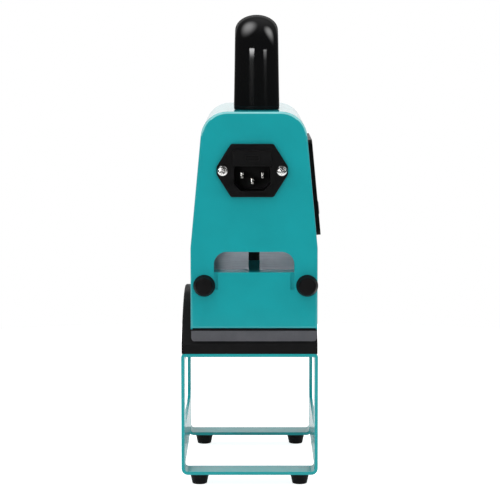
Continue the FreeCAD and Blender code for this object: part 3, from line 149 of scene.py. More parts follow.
class CasingSizes(bpy.types.PropertyGroup):
    """Sizes of the casing, its end panels and its bumpers."""

    lean: FloatProperty(
        name="Lean", description="Lean of the long sides", default=math.radians(5.4), subtype="ANGLE"
    )
    base: length("Base", "Height of the casing's lower edge", CASING_LOW.z)
    shoulder: length("Shoulder", "Outer radius of the casing's shoulders", 18 * MM)
    sheet: length("Sheet", "Thickness of the casing's sheet", 1.2 * MM)
    end_edge: length("End edge", "Rounding of the end panels' outline", 1.4 * MM)
    cut_edge: length("Cut edge", "Rounding of other cut edges", 0.3 * MM)
    hatch_foot: length("Hatch foot", "Distance of the control hatch from the wall's foot", 14.27 * MM)
    hatch_height: length("Hatch height", "Height of the control hatch along the wall", 48 * MM)
    hatch_half: length("Hatch half", "Half the length of the control hatch", 41 * MM)
    hatch_corner: length("Hatch corner", "Corner radius of the control hatch", 0.5 * MM)
    arch_half: length("Arch half", "Half the width of the arch window", 27.25 * MM)
    arch_head: length("Arch head", "Height of the arch window's top", CASING_LOW.z - 2.7 * MM)
    arch_corner: length("Arch corner", "Corner radius of the arch window", 8.5 * MM)
    tongue_half: length("Tongue half", "Half the width of the tongue in the arch window", 24.85 * MM)
    tongue_head: length("Tongue head", "Height of the tongue's top", HOUSING_HIGH.z)
    tongue_corner: length("Tongue corner", "Corner radius of the tongue", 1.2 * MM)
    slot_foot: length("Slot foot", "Height where the tongue's side slots end", HOUSING_HIGH.z - 11.7 * MM)
    bumper_base: length("Bumper base", "Diameter of a bumper on the panel", 15 * MM)
    bumper_face: length("Bumper face", "Diameter of a bumper's outer face", 11.4 * MM)


class HandleSizes(bpy.types.PropertyGroup):
    """Sizes of the bridge handle."""

    thickness: length("Thickness", "Thickness of the handle seen from its side", 21 * MM)
    grip_width: length("Grip width", "Width of the handle at the middle of its grip", 29.4 * MM)
    bend: length("Bend", "Radius of the bends at the handle's middle line", 14.5 * MM)
    foot_edge: length("Foot edge", "Rounding at the foot of each leg", 0.15 * MM)
    pad_edge: length("Pad edge", "Rounding at the foot of the pads under the legs", 0.8 * MM)
    sides: facets("Sides", "Facets round the handle", 56, 16, 128)
    leg_steps: facets("Leg steps", "Facets along a leg", 6, 1, 32)
    bend_steps: facets("Bend steps", "Facets along a bend", 18, 4, 64)


class InletSizes(bpy.types.PropertyGroup):
    """Sizes of the mains inlet."""

    nose: length("Nose", "Half the height of the flange's ears at their tips", 2.6 * MM)
    flat: length("Flat", "Half the length of the flange's upper edge", 14.4 * MM)
    flange: length("Flange", "Thickness of the flange", 3 * MM)
    corner: length("Corner", "Corner rounding of the flange", 1.1 * MM)
    flange_edge: length("Flange edge", "Rounding of the flange's outline", 0.9 * MM)
    mouth_edge: length("Mouth edge", "Rounding round the socket and the drawer's slot", 0.25 * MM)
    core_half: length("Core half", "Half the width of the body behind the panel", 14 * MM)
    core_rise: length("Core rise", "Half the height of the body behind the panel", 15.75 * MM)
    core_depth: length("Core depth", "Depth of the body behind the panel", 22 * MM)
    core_gap: length("Core gap", "Air between the body and its opening in the panel", 0.05 * MM)
    socket_half: length("Socket half", "Half the width of the socket", 12.3 * MM)
    socket_head: length("Socket head", "Top of the socket above the middle", 3 * MM)
    socket_foot: length("Socket foot", "Bottom of the socket below the middle", 13.8 * MM)
    socket_slope: length("Socket slope", "Cut across the socket's lower corners", 4.5 * MM)
    socket_depth: length("Socket depth", "Depth of the socket", 20 * MM)
    head_corner: length("Head corner", "Corner radius at the socket's top", 1.2 * MM)
    slope_corner: length("Slope corner", "Corner radius at the socket's slopes", 0.8 * MM)
    drawer_half: length("Drawer half", "Half the width of the drawer's slot", 11.95 * MM)
    drawer_foot: length("Drawer foot", "Lower edge of the drawer's slot above the middle", 4.55 * MM)
    drawer_head: length("Drawer head", "Upper edge of the drawer's slot above the middle", 12.65 * MM)
    drawer_corner: length("Drawer corner", "Corner radius of the drawer's slot", 0.4 * MM)
    pin_width: length("Pin width", "Width of a pin", 2 * MM)
    pin_height: length("Pin height", "Height of a pin", 4 * MM)
    pin_tip: length("Pin tip", "Rounding of a pin's tip", 0.55 * MM)
    screw_head: length("Screw head", "Radius of the inlet screws' heads", 3.6 * MM)
    screw_rise: length("Screw rise", "Height of the inlet screws' heads", 2.2 * MM)
    screw_shank: length("Screw shank", "Radius of the inlet screws' shanks", 1.45 * MM)


class DrawerSizes(bpy.types.PropertyGroup):
    """Sizes of the fuse drawer."""

    face: length("Face", "Thickness of the drawer's face", 1.6 * MM)
    corner: length("Corner", "Corner radius of the face", 0.9 * MM)
    edge: length("Edge", "Rounding of the face's edges", 0.25 * MM)
    grip_half: length("Grip half", "Half the width of the grip's recess", 4.6 * MM)
    grip_rise: length("Grip rise", "Half the height of the grip's recess", 1.9 * MM)
    grip_depth: length("Grip depth", "Depth of the grip's recess", 0.6 * MM)
    grip_corner: length("Grip corner", "Corner radius of the grip's recess", 0.5 * MM)
    tray_half: length("Tray half", "Half the width of the tray behind the face", 11.8 * MM)
    tray_rise: length("Tray rise", "Half the height of the tray", 3.9 * MM)
    tray_floor: length("Tray floor", "Thickness of the tray's floor", 1.2 * MM)
    tray_corner: length("Tray corner", "Corner radius at the tray's far end", 0.6 * MM)
    floor_corner: length("Floor corner", "Corner radius of the tray's floor", 0.3 * MM)
    trough_half: length("Trough half", "Half the length of the fuse's trough", 10.15 * MM)
    trough_reach: length("Trough reach", "Half the width of the fuse's trough", 2.75 * MM)


class ControlSizes(bpy.types.PropertyGroup):
    """Sizes of the keys on the control panel."""

    across: length("Across", "Distance of the panel's middle from the press's middle", 42.698 * MM)
    level: length("Level", "Height of the panel's middle", 202.5 * MM)
    key_row: length("Key row", "Distance of the keys below the panel's middle", 15.5 * MM)
    key_pitch: length("Key pitch", "Distance between two keys", 17 * MM)
    key_height: length("Key height", "Height of a key's cap along the wall", 9.2 * MM)
    key_width: length("Key width", "Width of a key's cap", 12.7 * MM)
    key_rise: length("Key rise", "Height of a key's cap above the wall", 4.4 * MM)
    key_corner: length("Key corner", "Corner radius of a key's cap", 1.9 * MM)
    key_edge: length("Key edge", "Rounding of a key's upper edge", 0.7 * MM)
    key_sink: length("Key sink", "How deep a key's cap reaches below the wall", 0.1 * MM)
    flange_height: length("Flange height", "Height of a key's flange along the wall", 11.5 * MM)
    flange_width: length("Flange width", "Width of a key's flange", 15 * MM)
    flange_corner: length("Flange corner", "Corner radius of a key's flange", 2.2 * MM)
    flange_top: length("Flange top", "Depth of a flange's upper side below the wall", 0.05 * MM)
    flange_foot: length("Flange foot", "Depth of a flange's lower side below the wall", 1.25 * MM)
    stem: length("Stem", "Radius of the stem under a key", 2 * MM)
    stem_top: length("Stem top", "Depth of a stem's upper end below the wall", 1.2 * MM)
    stem_foot: length("Stem foot", "Depth of a stem's lower end below the wall", 3.05 * MM)
    mark: length("Mark", "Height of the sign printed on a key", 4.4 * MM)
    mark_lift: length("Mark lift", "Height of the sign above the key", 0.02 * MM)


class FinishColours(bpy.types.PropertyGroup):
    """Colours of the finishes that a user would change."""

    teal_coat: tint("Teal coat", "Powder coat of the steel sheets", (0.0030, 0.378, 0.414))
    silicone: tint("Silicone", "The arched pad", (0.006, 0.006, 0.0064))
    black_rubber: tint("Black rubber", "Feet, bumpers and handle pads", (0.0052, 0.005, 0.0054))
    gloss_black: tint("Gloss black", "The bridge handle", (0.0035, 0.0035, 0.0038))
    black_plastic: tint("Black plastic", "Inlet, fuse drawer and control panel", (0.0044, 0.0044, 0.0046))
    coated_platen: tint("Coated platen", "Non-stick coat of the platen", (0.093, 0.095, 0.107))
    grey_key: tint("Grey key", "Caps of the keys", (0.19, 0.2, 0.21))
    key_print: tint("Key print", "Signs printed on the keys", (0.8, 0.82, 0.82))


class StageSettings(bpy.types.PropertyGroup):
    """Camera, light and floor."""

    camera_place: FloatVectorProperty(
        name="Camera place", description="Where the camera stands", default=(0.0030, -1.4939, 0.3176),
        size=3, subtype="TRANSLATION", unit="LENGTH", precision=4,
    )
    camera_turn: FloatVectorProperty(
        name="Camera turn", description="How the camera is turned", size=3, subtype="EULER",
        default=(math.radians(83.765), math.radians(0.033), math.radians(0.104)),
    )
    lens: FloatProperty(name="Lens", description="Focal length", default=151.0, min=1.0, unit="CAMERA")
    dome: strength("Dome", "Level of the light from all sides", 0.8)
    dark_side: strength("Dark side", "How bright the room behind the camera looks in gloss", 0.05)
    top_power: FloatProperty(
        name="Top lamps", description="Power of the lamps overhead", default=5.5, min=0.0, unit="POWER"
    )
    shine: strength("Shine", "How bright windows and softboxes look in gloss", 1.0)
    floor_radius: length("Floor radius", "Radius of the floor", 0.7)
    floor_glow: strength("Floor glow", "How far the floor is lifted towards white", 0.85)
    floor_gloss: strength("Floor gloss", "How far the floor is lifted where gloss shows it", 0.55)


class CapPress(bpy.types.PropertyGroup):
    """All settings of the cap press."""

    stand: PointerProperty(type=StandSizes)
    pad: PointerProperty(type=PadSizes)
    casing: PointerProperty(type=CasingSizes)
    handle: PointerProperty(type=HandleSizes)
    inlet: PointerProperty(type=InletSizes)
    drawer: PointerProperty(type=DrawerSizes)
    control: PointerProperty(type=ControlSizes)
    colours: PointerProperty(type=FinishColours)
    stage: PointerProperty(type=StageSettings)


# Finishes


def add_node(tree, kind, values=None, **settings):
    """Adds a shader node; a value that is a socket is linked, any other is written into the node's own."""
    node = tree.nodes.new("ShaderNode" + kind)
    for name, setting in settings.items():
        setattr(node, name, setting)
    for name, value in (values or {}).items():
        if isinstance(value, bpy.types.NodeSocket):
            tree.links.new(value, node.inputs[name])
        else:
            node.inputs[name].default_value = value
    return node


def add_group(tree, name, make):
    """Adds a node of a shared group, which is made the first time that it is asked for."""
    node = tree.nodes.new("ShaderNodeGroup")
    node.node_tree = bpy.data.node_groups.get(name) or make()
    return node


def compute(tree, operation, *values):
    """The result of a math node."""
    return add_node(tree, "Math", dict(enumerate(values)), operation=operation).outputs[0]


def ramp(tree, value, low, high, first=0.0, last=1.0, **settings):
    """A value mapped from one range to another and held at its ends."""
    ends = {"Value": value, "From Min": low, "From Max": high, "To Min": first, "To Max": last}
    return add_node(tree, "MapRange", ends, **settings).outputs[0]


def noise(tree, vector, scale, detail, roughness=0.5):
    """The value of a noise."""
    values = {"Vector": vector, "Scale": scale, "Detail": detail, "Roughness": roughness}
    return add_node(tree, "TexNoise", values).outputs["Fac"]


def stretch(tree, vector, shares):
    """A place stretched along each axis."""
    return add_node(tree, "VectorMath", {0: vector, 1: shares}, operation="MULTIPLY").outputs[0]


def mix_colours(tree, share, first, second):
    """A blend of two colours."""
    return add_node(tree, "Mix", {0: share, 6: first, 7: second}, data_type="RGBA").outputs[2]


def mix_values(tree, share, first, second):
    """A blend of two values."""
    return add_node(tree, "Mix", {0: share, 2: first, 3: second}, data_type="FLOAT").outputs[0]


def new_group(name, inputs, outputs):
    """An empty node group with named inputs and outputs, and the sockets at its two ends."""
    tree = bpy.data.node_groups.new(name, "ShaderNodeTree")
    for label, kind, value in inputs:
        socket = tree.interface.new_socket(name=label, in_out="INPUT", socket_type="NodeSocket" + kind)
        if value is not None:
            socket.default_value = value
    for label in outputs:
        tree.interface.new_socket(name=label, in_out="OUTPUT", socket_type="NodeSocketFloat")
    return tree, tree.nodes.new("NodeGroupInput").outputs, tree.nodes.new("NodeGroupOutput").inputs


# What every grain takes, its scale per metre among it, and gives.
GRAIN_INPUTS = (("Vector", "Vector", None), ("Scale", "Float", 1000.0))
GRAIN_OUTPUTS = ("Tone", "Height")


def make_coat_grain():
    """Orange-peel of a baked powder coat: fine bumps and a slow drift of tone."""
    tree, given, result = new_group("coat grain", GRAIN_INPUTS, GRAIN_OUTPUTS)
    fine = noise(tree, given["Vector"], given["Scale"], detail=2.0, roughness=0.55)
    wide_scale = compute(tree, "MULTIPLY", given["Scale"], 0.045)
    wide = noise(tree, given["Vector"], wide_scale, detail=4.0)
    both = compute(tree, "MULTIPLY_ADD", fine, 0.35, wide)
    tree.links.new(ramp(tree, both, low=0.45, high=0.9), result["Tone"])
    tree.links.new(fine, result["Height"])
    return tree


def make_brushed_grain():
    """Fine parallel scratches of brushed or rolled metal."""
    tree, given, result = new_group("brushed grain", GRAIN_INPUTS, GRAIN_OUTPUTS)
    drawn_out = stretch(tree, given["Vector"], (0.03, 1.0, 1.0))
    scratches = noise(tree, drawn_out, given["Scale"], detail=3.0, roughness=0.6)
    blotch_scale = compute(tree, "MULTIPLY", given["Scale"], 0.08)
    blotch = noise(tree, given["Vector"], blotch_scale, detail=2.0)
    both = compute(tree, "MULTIPLY_ADD", blotch, 0.5, scratches)
    tree.links.new(ramp(tree, both, low=0.5, high=1.0), result["Tone"])
    tree.links.new(scratches, result["Height"])
    return tree


def make_moulded_grain():
    """Pebbled skin of a moulded plastic or rubber, with faint clouding."""
    tree, given, result = new_group("moulded grain", GRAIN_INPUTS, GRAIN_OUTPUTS)
    pebble = add_node(
        tree, "TexVoronoi", {"Vector": given["Vector"], "Scale": given["Scale"]}, feature="SMOOTH_F1"
    )
    cloud_scale = compute(tree, "MULTIPLY", given["Scale"], 0.03)
    cloud = noise(tree, given["Vector"], cloud_scale, detail=5.0)
    tree.links.new(ramp(tree, cloud, low=0.3, high=0.7), result["Tone"])
    tree.links.new(pebble.outputs["Distance"], result["Height"])
    return tree


def make_woven_grain():
    """Plain weave of glass sleeving, blanket and winding tape."""
    tree, given, result = new_group("woven grain", GRAIN_INPUTS, GRAIN_OUTPUTS)
    threads = []
    for way in (given["Vector"], stretch(tree, given["Vector"], (-1.0, 1.0, 1.0))):
        wave = add_node(
            tree, "TexWave", {"Vector": way, "Scale": given["Scale"], "Distortion": 0.6},
            bands_direction="DIAGONAL",
        )
        threads.append(wave.outputs["Fac"])
    height = compute(tree, "MAXIMUM", *threads)
    for output in GRAIN_OUTPUTS:
        tree.links.new(height, result[output])
    return tree


def make_edge_wear_and_sheen():
    """Mask along sharp edges, broken up so that it is uneven: wear on most finishes, and partly a painted
    edge highlight on the teal coats.
    """
    tree, given, result = new_group(
        "edge wear and sheen",
        (("Vector", "Vector", None), ("Width", "Float", 0.6 * MM), ("Amount", "Float", 0.5)),
        ("Mask",),
    )
    soft = add_node(tree, "Bevel", {"Radius": given["Width"]}, samples=4).outputs[0]
    sharp = add_node(tree, "NewGeometry").outputs["Normal"]
    match = add_node(tree, "VectorMath", {0: soft, 1: sharp}, operation="DOT_PRODUCT").outputs["Value"]
    edge = ramp(tree, match, low=0.995, high=0.85)
    patch = noise(tree, given["Vector"], scale=160.0, detail=5.0, roughness=0.7)
    uneven = compute(tree, "MULTIPLY", edge, ramp(tree, patch, low=0.3, high=0.7))
    tree.links.new(compute(tree, "MULTIPLY", uneven, given["Amount"]), result["Mask"])
    return tree


# What a soft patch takes besides two parts of a direction: its middle and reach in them, and its form.
PATCH_FORM = ("Middle U", "Middle V", "Reach U", "Reach V", "Square", "Edge")


def make_soft_patch():
    """Mask of a soft-edged patch in two parts of a direction, oval where Square is 2 and boxy above."""
    inputs = [(place, "Float", 0.0) for place in ("U", "V", *PATCH_FORM)]
    tree, given, result = new_group("soft patch", inputs, ("Mask",))
    powers = []
    for axis in "UV":
        off = compute(tree, "SUBTRACT", given[axis], given["Middle " + axis])
        share = compute(tree, "DIVIDE", off, given["Reach " + axis])
        powers.append(compute(tree, "POWER", compute(tree, "ABSOLUTE", share), given["Square"]))
    root = compute(tree, "DIVIDE", 1.0, given["Square"])
    spread = compute(tree, "POWER", compute(tree, "ADD", *powers), root)
    inner = compute(tree, "SUBTRACT", 1.0, given["Edge"])
    mask = ramp(tree, spread, inner, 1.0, first=1.0, last=0.0, interpolation_type="SMOOTHSTEP")
    tree.links.new(mask, result["Mask"])
    return tree


GRAINS = {
    "coat": make_coat_grain,
    "brushed": make_brushed_grain,
    "moulded": make_moulded_grain,
    "woven": make_woven_grain,
}
BUMP_STRENGTH = 0.5

# Grain, its scale per metre, roughness and its spread, metal, tone spread, bump height in millimetres,
# edge colour and share.
FINISHES = {
    # The teal coats' paler edge colour is partly wear and partly a painted highlight along their edges.
    "teal_coat": ("coat", 1150, 0.46, 0.08, 0.0, 0.05, 0.030, (0.08, 0.42, 0.43), 0.5),
    "teal_stand": ("coat", 1150, 0.46, 0.08, 0.0, 0.05, 0.030, (0.08, 0.42, 0.43), 0.5),
    # The pale rim finish is a painted highlight on the end panels' rounded outline.
    "teal_painted_highlight": ("coat", 1150, 0.46, 0.08, 0.0, 0.05, 0.030, (0.5, 0.9, 0.88), 0.3),
    "silicone": ("moulded", 2600, 0.52, 0.10, 0.0, 0.25, 0.020, (0.03, 0.03, 0.03), 0.5),
    "black_rubber": ("moulded", 2200, 0.50, 0.10, 0.0, 0.25, 0.030, (0.035, 0.033, 0.035), 0.5),
    "gloss_black": ("moulded", 900, 0.11, 0.03, 0.0, 0.15, 0.002, (0.01, 0.01, 0.01), 0.3),
    "black_plastic": ("moulded", 2600, 0.38, 0.08, 0.0, 0.2, 0.020, (0.03, 0.03, 0.03), 0.6),
    "coated_platen": ("coat", 1600, 0.46, 0.08, 0.15, 0.12, 0.020, (0.2, 0.2, 0.21), 0.7),
    "grey_key": ("moulded", 2600, 0.48, 0.06, 0.0, 0.08, 0.015, (0.3, 0.3, 0.31), 0.4),
    "key_print": ("moulded", 2600, 0.5, 0.05, 0.0, 0.05, 0.005, (0.8, 0.8, 0.8), 0.1),
    "zinc_steel": ("brushed", 2200, 0.24, 0.10, 1.0, 0.12, 0.010, (0.9, 0.9, 0.9), 0.4),
    "brass": ("brushed", 2200, 0.26, 0.10, 1.0, 0.12, 0.010, (0.9, 0.75, 0.4), 0.4),
    "brushed_bracket": ("brushed", 1500, 0.42, 0.12, 0.8, 0.2, 0.020, (0.7, 0.7, 0.72), 0.5),
    "gasket": ("moulded", 1500, 0.75, 0.05, 0.0, 0.2, 0.020, (0.02, 0.02, 0.02), 0.2),
    "heater_foil": ("coat", 700, 0.30, 0.10, 0.7, 0.2, 0.040, (0.8, 0.6, 0.3), 0.3),
    "fibre_blanket": ("woven", 500, 0.90, 0.05, 0.0, 0.15, 0.080, (0.9, 0.9, 0.85), 0.1),
    "sensor_can": ("brushed", 2200, 0.25, 0.08, 1.0, 0.1, 0.010, (0.9, 0.9, 0.9), 0.3),
    "white_lead": ("woven", 1400, 0.55, 0.05, 0.0, 0.06, 0.030, (0.85, 0.85, 0.85), 0.1),
    # The glass sleeve's near-black colour is painted shade for the dark gap between the spacer brackets.
    "glass_sleeve": ("woven", 900, 0.60, 0.05, 0.0, 0.12, 0.060, (0.05, 0.05, 0.05), 0.1),
    "nickel_pin": ("brushed", 2600, 0.16, 0.06, 1.0, 0.06, 0.005, (0.95, 0.95, 0.95), 0.3),
    "smoked_window": ("moulded", 900, 0.08, 0.02, 0.0, 0.1, 0.001, (0.02, 0.02, 0.02), 0.2),
    "green_board": ("woven", 1800, 0.42, 0.08, 0.0, 0.15, 0.010, (0.2, 0.35, 0.2), 0.3),
    "transformer_core": ("brushed", 2600, 0.40, 0.10, 0.8, 0.25, 0.040, (0.5, 0.5, 0.5), 0.4),
    "terminal_plastic": ("moulded", 2000, 0.42, 0.06, 0.0, 0.08, 0.010, (0.3, 0.6, 0.3), 0.3),
    "fuse_glass": ("moulded", 900, 0.06, 0.02, 0.0, 0.05, 0.001, (0.9, 0.9, 0.9), 0.1),
}

# Colours of the other finishes: the stand's coat, the painted highlight on the end panels' rounded outline,
# fasteners and what is inside the casing.
PLAIN_COLOURS = {
    "teal_stand": (0.0030, 0.365, 0.382),
    "teal_painted_highlight": (0.25, 0.66, 0.67),
    "zinc_steel": (0.72, 0.72, 0.71),
    "brass": (0.68, 0.47, 0.18),
    "brushed_bracket": (0.33, 0.35, 0.39),
    "gasket": (0.008, 0.008, 0.009),
    "heater_foil": (0.42, 0.25, 0.1),
    "fibre_blanket": (0.74, 0.72, 0.64),
    "sensor_can": (0.66, 0.66, 0.65),
    "white_lead": (0.72, 0.71, 0.68),
    # The glass sleeve's near-black colour is painted shade for the dark gap between the spacer brackets.
    "glass_sleeve": (0.02, 0.021, 0.022),
    "nickel_pin": (0.86, 0.85, 0.82),
    "smoked_window": (0.012, 0.013, 0.014),
    "green_board": (0.012, 0.11, 0.04),
    "transformer_core": (0.2, 0.2, 0.21),
    "terminal_plastic": (0.05, 0.3, 0.12),
    "fuse_glass": (0.86, 0.88, 0.87),
}

# How clear a finish is.
CLEAR_FINISHES = {"smoked_window": 0.35, "fuse_glass": 0.9}
# Weight and roughness of a lacquer over a finish.
LACQUERED_FINISHES = {
    "teal_coat": (1.0, 0.12), "teal_stand": (0.5, 0.12), "teal_painted_highlight": (1.0, 0.12),
    "gloss_black": (1.0, 0.06),
}
# Lacquers that lose their shine where they are seen from the side, between these two slants.
FADING_LACQUERS = {"gloss_black": (0.5, 0.9)}
# How strongly the finish under any lacquer shines, where it is duller than most.
DULL_FINISHES = {
    "teal_coat": 0.1, "teal_stand": 0.1, "teal_painted_highlight": 0.1, "gloss_black": 0.0, "silicone": 0.08,
    "black_rubber": 0.08, "black_plastic": 0.09, "gasket": 0.1, "coated_platen": 0.3, "glass_sleeve": 0.2,
}


def finish(slot):
    """The material of one finish, made the first time that it is asked for."""
    known = bpy.data.materials.get("finish_" + slot)
    if known:
        return known
    colours = bpy.context.scene.cap_press.colours
    grain, scale, rough, rough_spread, metal, tone_spread, bump, edge_colour, edge_share = FINISHES[slot]
    base = Vector(getattr(colours, slot) if hasattr(colours, slot) else PLAIN_COLOURS[slot])
    material = bpy.data.materials.new("finish_" + slot)
    material.use_nodes = True
    tree = material.node_tree
    surface = tree.nodes["Principled BSDF"].inputs
    place = add_node(tree, "TexCoord").outputs["Object"]
    texture = add_group(tree, grain + " grain", GRAINS[grain])
    texture.inputs["Scale"].default_value = scale
    wear_and_sheen = add_group(tree, "edge wear and sheen", make_edge_wear_and_sheen)
    wear_and_sheen.inputs["Amount"].default_value = edge_share
    for group in (texture, wear_and_sheen):
        tree.links.new(place, group.inputs["Vector"])
    tone, height = texture.outputs["Tone"], texture.outputs["Height"]
    toned = mix_colours(tree, tone, (*(base * (1 - tone_spread)), 1), (*(base * (1 + tone_spread)), 1))
    # The edge colour is wear, and on the teal coats partly a painted edge highlight.
    wear_and_sheen_colour = mix_colours(tree, wear_and_sheen.outputs["Mask"], toned, (*edge_colour, 1))
    roughness = ramp(tree, tone, 0.0, 1.0, rough - rough_spread, rough + rough_spread)
    relief = add_node(tree, "Bump", {"Height": height, "Strength": BUMP_STRENGTH, "Distance": bump * MM})
    tree.links.new(wear_and_sheen_colour, surface["Base Color"])
    tree.links.new(roughness, surface["Roughness"])
    tree.links.new(relief.outputs[0], surface["Normal"])
    surface["Metallic"].default_value = metal
    if slot in DULL_FINISHES:
        surface["Specular IOR Level"].default_value = DULL_FINISHES[slot]
    if slot in CLEAR_FINISHES:
        surface["Transmission Weight"].default_value = CLEAR_FINISHES[slot]
    if slot in LACQUERED_FINISHES:
        weight, coat_rough = LACQUERED_FINISHES[slot]
        surface["Coat Weight"].default_value = weight
        surface["Coat Roughness"].default_value = coat_rough
    if slot in FADING_LACQUERS:
        slant = add_node(tree, "LayerWeight", {"Blend": 0.5}).outputs["Facing"]
        fade = ramp(tree, slant, *FADING_LACQUERS[slot], first=1.0, last=0.0)
        tree.links.new(fade, surface["Coat Weight"])
    return material


# Modelling helpers


def everything(bm):
    """All vertices, edges and faces of a mesh under work."""
    return bm.verts[:] + bm.edges[:] + bm.faces[:]


def moved(bm, old, place):
    """Puts what was added since old was noted in its place."""
    bmesh.ops.transform(bm, matrix=place, verts=[vert for vert in bm.verts if vert not in old])


def cut_face(bm, corners, level=0.0, steps=6):
    """One flat face through corners (x, y, rounding); the rounding is the length cut from each side."""
    old = set(bm.faces)
    verts = [bm.verts.new((x, y, level)) for x, y, _ in corners]
    bm.faces.new(verts)
    for vert, (_, _, rounding) in zip(verts, corners):
        if rounding > 0:
            bmesh.ops.bevel(
                bm, geom=[vert], offset=rounding, offset_type="OFFSET", affect="VERTICES", segments=steps,
                profile=0.5, material=-1, clamp_overlap=False,
            )
    return [face for face in bm.faces if face not in old]


def thicken(bm, faces, push):
    """Gives flat faces a thickness along a direction."""
    grown = bmesh.ops.extrude_face_region(bm, geom=faces, use_keep_orig=True)["geom"]
    verts = [item for item in grown if isinstance(item, bmesh.types.BMVert)]
    bmesh.ops.translate(bm, verts=verts, vec=push)
    bmesh.ops.recalc_face_normals(bm, faces=bm.faces)


def round_edges(bm, edges, radius, steps=3, material=-1):
    """Rounds edges; the new faces take a material index where one is given."""
    bmesh.ops.bevel(
        bm, geom=list(edges), offset=radius, offset_type="OFFSET", affect="EDGES", segments=steps,
        profile=0.5, material=material, clamp_overlap=True,
    )


def sharp_edges(bm, test=lambda edge: True):
    """Edges between two faces that meet at a clear angle, those that pass a test."""
    bm.normal_update()
    inner = [edge for edge in bm.edges if len(edge.link_faces) == 2]
    return [edge for edge in inner if edge.calc_face_angle() > SHARP and test(edge)]


def at_level(level):
    """A test whether an edge lies at a height."""
    return lambda edge: all(abs(vert.co.z - level) < NEAR for vert in edge.verts)


def rounded_block(bm, low, high, corner):
    """A block with rounded upright corners."""
    corners = ((low.x, low.y), (high.x, low.y), (high.x, high.y), (low.x, high.y))
    base = cut_face(bm, [(x, y, corner) for x, y in corners], low.z)
    thicken(bm, base, (0, 0, high.z - low.z))


def drawn(bm, edges, push):
    """Draws walls from a loop of edges along a direction, and gives the loop at their far end."""
    grown = bmesh.ops.extrude_edge_only(bm, edges=edges)["geom"]
    verts = {item for item in grown if isinstance(item, bmesh.types.BMVert)}
    bmesh.ops.translate(bm, verts=list(verts), vec=push)
    return [item for item in grown if isinstance(item, bmesh.types.BMEdge) and verts.issuperset(item.verts)]


def oval(bm, half_width, half_depth, level, sides):
    """A flat oval face at a height; gives its edges."""
    verts = bmesh.ops.create_circle(bm, cap_ends=True, segments=sides, radius=1)["verts"]
    size = Matrix.Diagonal((half_width, half_depth, 1, 1))
    bmesh.ops.transform(bm, matrix=Matrix.Translation((0, 0, level)) @ size, verts=verts)
    return loop_edges(verts)


def lip(points, radius, level, side):
    """A rounded edge of a turned piece: points by how far inside a radius and to one side of a level."""
    return [(radius - inside * MM, level + side * away * MM) for inside, away in points]


def turned(bm, profile, place, steps=40):
    """A body of revolution from a profile (radius, height) round the upright axis."""
    old = set(bm.verts)
    verts = [bm.verts.new((radius, 0, height)) for radius, height in profile]
    edges = [bm.edges.new(pair) for pair in zip(verts, verts[1:])]
    bmesh.ops.spin(
        bm, geom=verts + edges, cent=(0, 0, 0), axis=(0, 0, 1), dvec=(0, 0, 0), angle=math.tau, steps=steps,
        use_merge=True,
    )
    fresh = [vert for vert in bm.verts if vert not in old]
    bmesh.ops.remove_doubles(bm, verts=fresh, dist=MERGE)
    moved(bm, old, place)


SCREW_SIDES = 24
# The tip of a screw's shank, as shares of the shank's radius: its radius, and how far it tapers.
SCREW_TIP = (0.7, 0.3)
# A pan head, as shares of its radius and height: rings from the foot up.
SCREW_HEAD = ((0.96, 0.0), (1.0, 0.12), (1.0, 0.42), (0.93, 0.72), (0.76, 0.92))
# Its cross recess, as such shares: reach and half width of the arms and their height,
# at the mouth and at the floor.
SCREW_CROSS = ((0.6, 0.17, 1.0), (0.42, 0.08, 0.15))


def ring(bm, radius, height):
    """Edges of a circle at a height."""
    verts = bmesh.ops.create_circle(
        bm, cap_ends=False, segments=SCREW_SIDES, radius=radius, matrix=Matrix.Translation((0, 0, height))
    )["verts"]
    return loop_edges(verts)


def loop_edges(verts):
    """Edges between the vertices of one loop."""
    wanted = set(verts)
    return list({edge for vert in verts for edge in vert.link_edges if set(edge.verts) <= wanted})


def cross_loop(bm, reach, half, height):
    """Edges of a cross with four equal arms at a height."""
    corner = ((reach, -half), (reach, half), (half, half))
    points = [Matrix.Rotation(turn * QUARTER, 2) @ Vector(point) for turn in range(4) for point in corner]
    return closed_line(bm, [(*point, height) for point in points])


def closed_line(bm, points):
    """Edges of a closed line through points."""
    verts = [bm.verts.new(point) for point in points]
    return [bm.edges.new((verts[index - 1], verts[index])) for index in range(len(verts))]


def cross_screw(bm, head, rise, shank, reach, place):
    """A pan-head screw with a cross recess; it stands on its own foot plane and its shank goes below."""
    old = set(bm.verts)
    tip, taper = SCREW_TIP
    loops = [ring(bm, shank * tip, -reach), ring(bm, shank, shank * taper - reach), ring(bm, shank, 0)]
    loops += [ring(bm, head * wide, rise * high) for wide, high in SCREW_HEAD]
    loops += [cross_loop(bm, head * arm, head * half, rise * high) for arm, half, high in SCREW_CROSS]
    for lower, upper in zip(loops, loops[1:]):
        bmesh.ops.bridge_loops(bm, edges=lower + upper)
    bmesh.ops.contextual_create(bm, geom=loops[0])
    bmesh.ops.contextual_create(bm, geom=loops[-1])
    moved(bm, old, place)


def fold_point(spot, runs):
    """Where a point of the flat blank goes: X runs along the sheet, Z is its depth under the outer face."""
    side = -1 if spot.x < 0 else 1
    left = abs(spot.x)
    across, down, heading = 0.0, 0.0, 0.0
    for run, turn in runs:
        part = min(left, run)
        if turn:
            radius = run / turn
            bent = heading + part / radius
            across += radius * (math.sin(bent) - math.sin(heading))
            down += radius * (math.cos(heading) - math.cos(bent))
            heading = bent
        else:
            across += part * math.cos(heading)
            down += part * math.sin(heading)
        left -= part
        if left <= 0:
            break
    across -= spot.z * math.sin(heading)
    down += spot.z * math.cos(heading)
    return Vector((side * across, spot.y, -down))


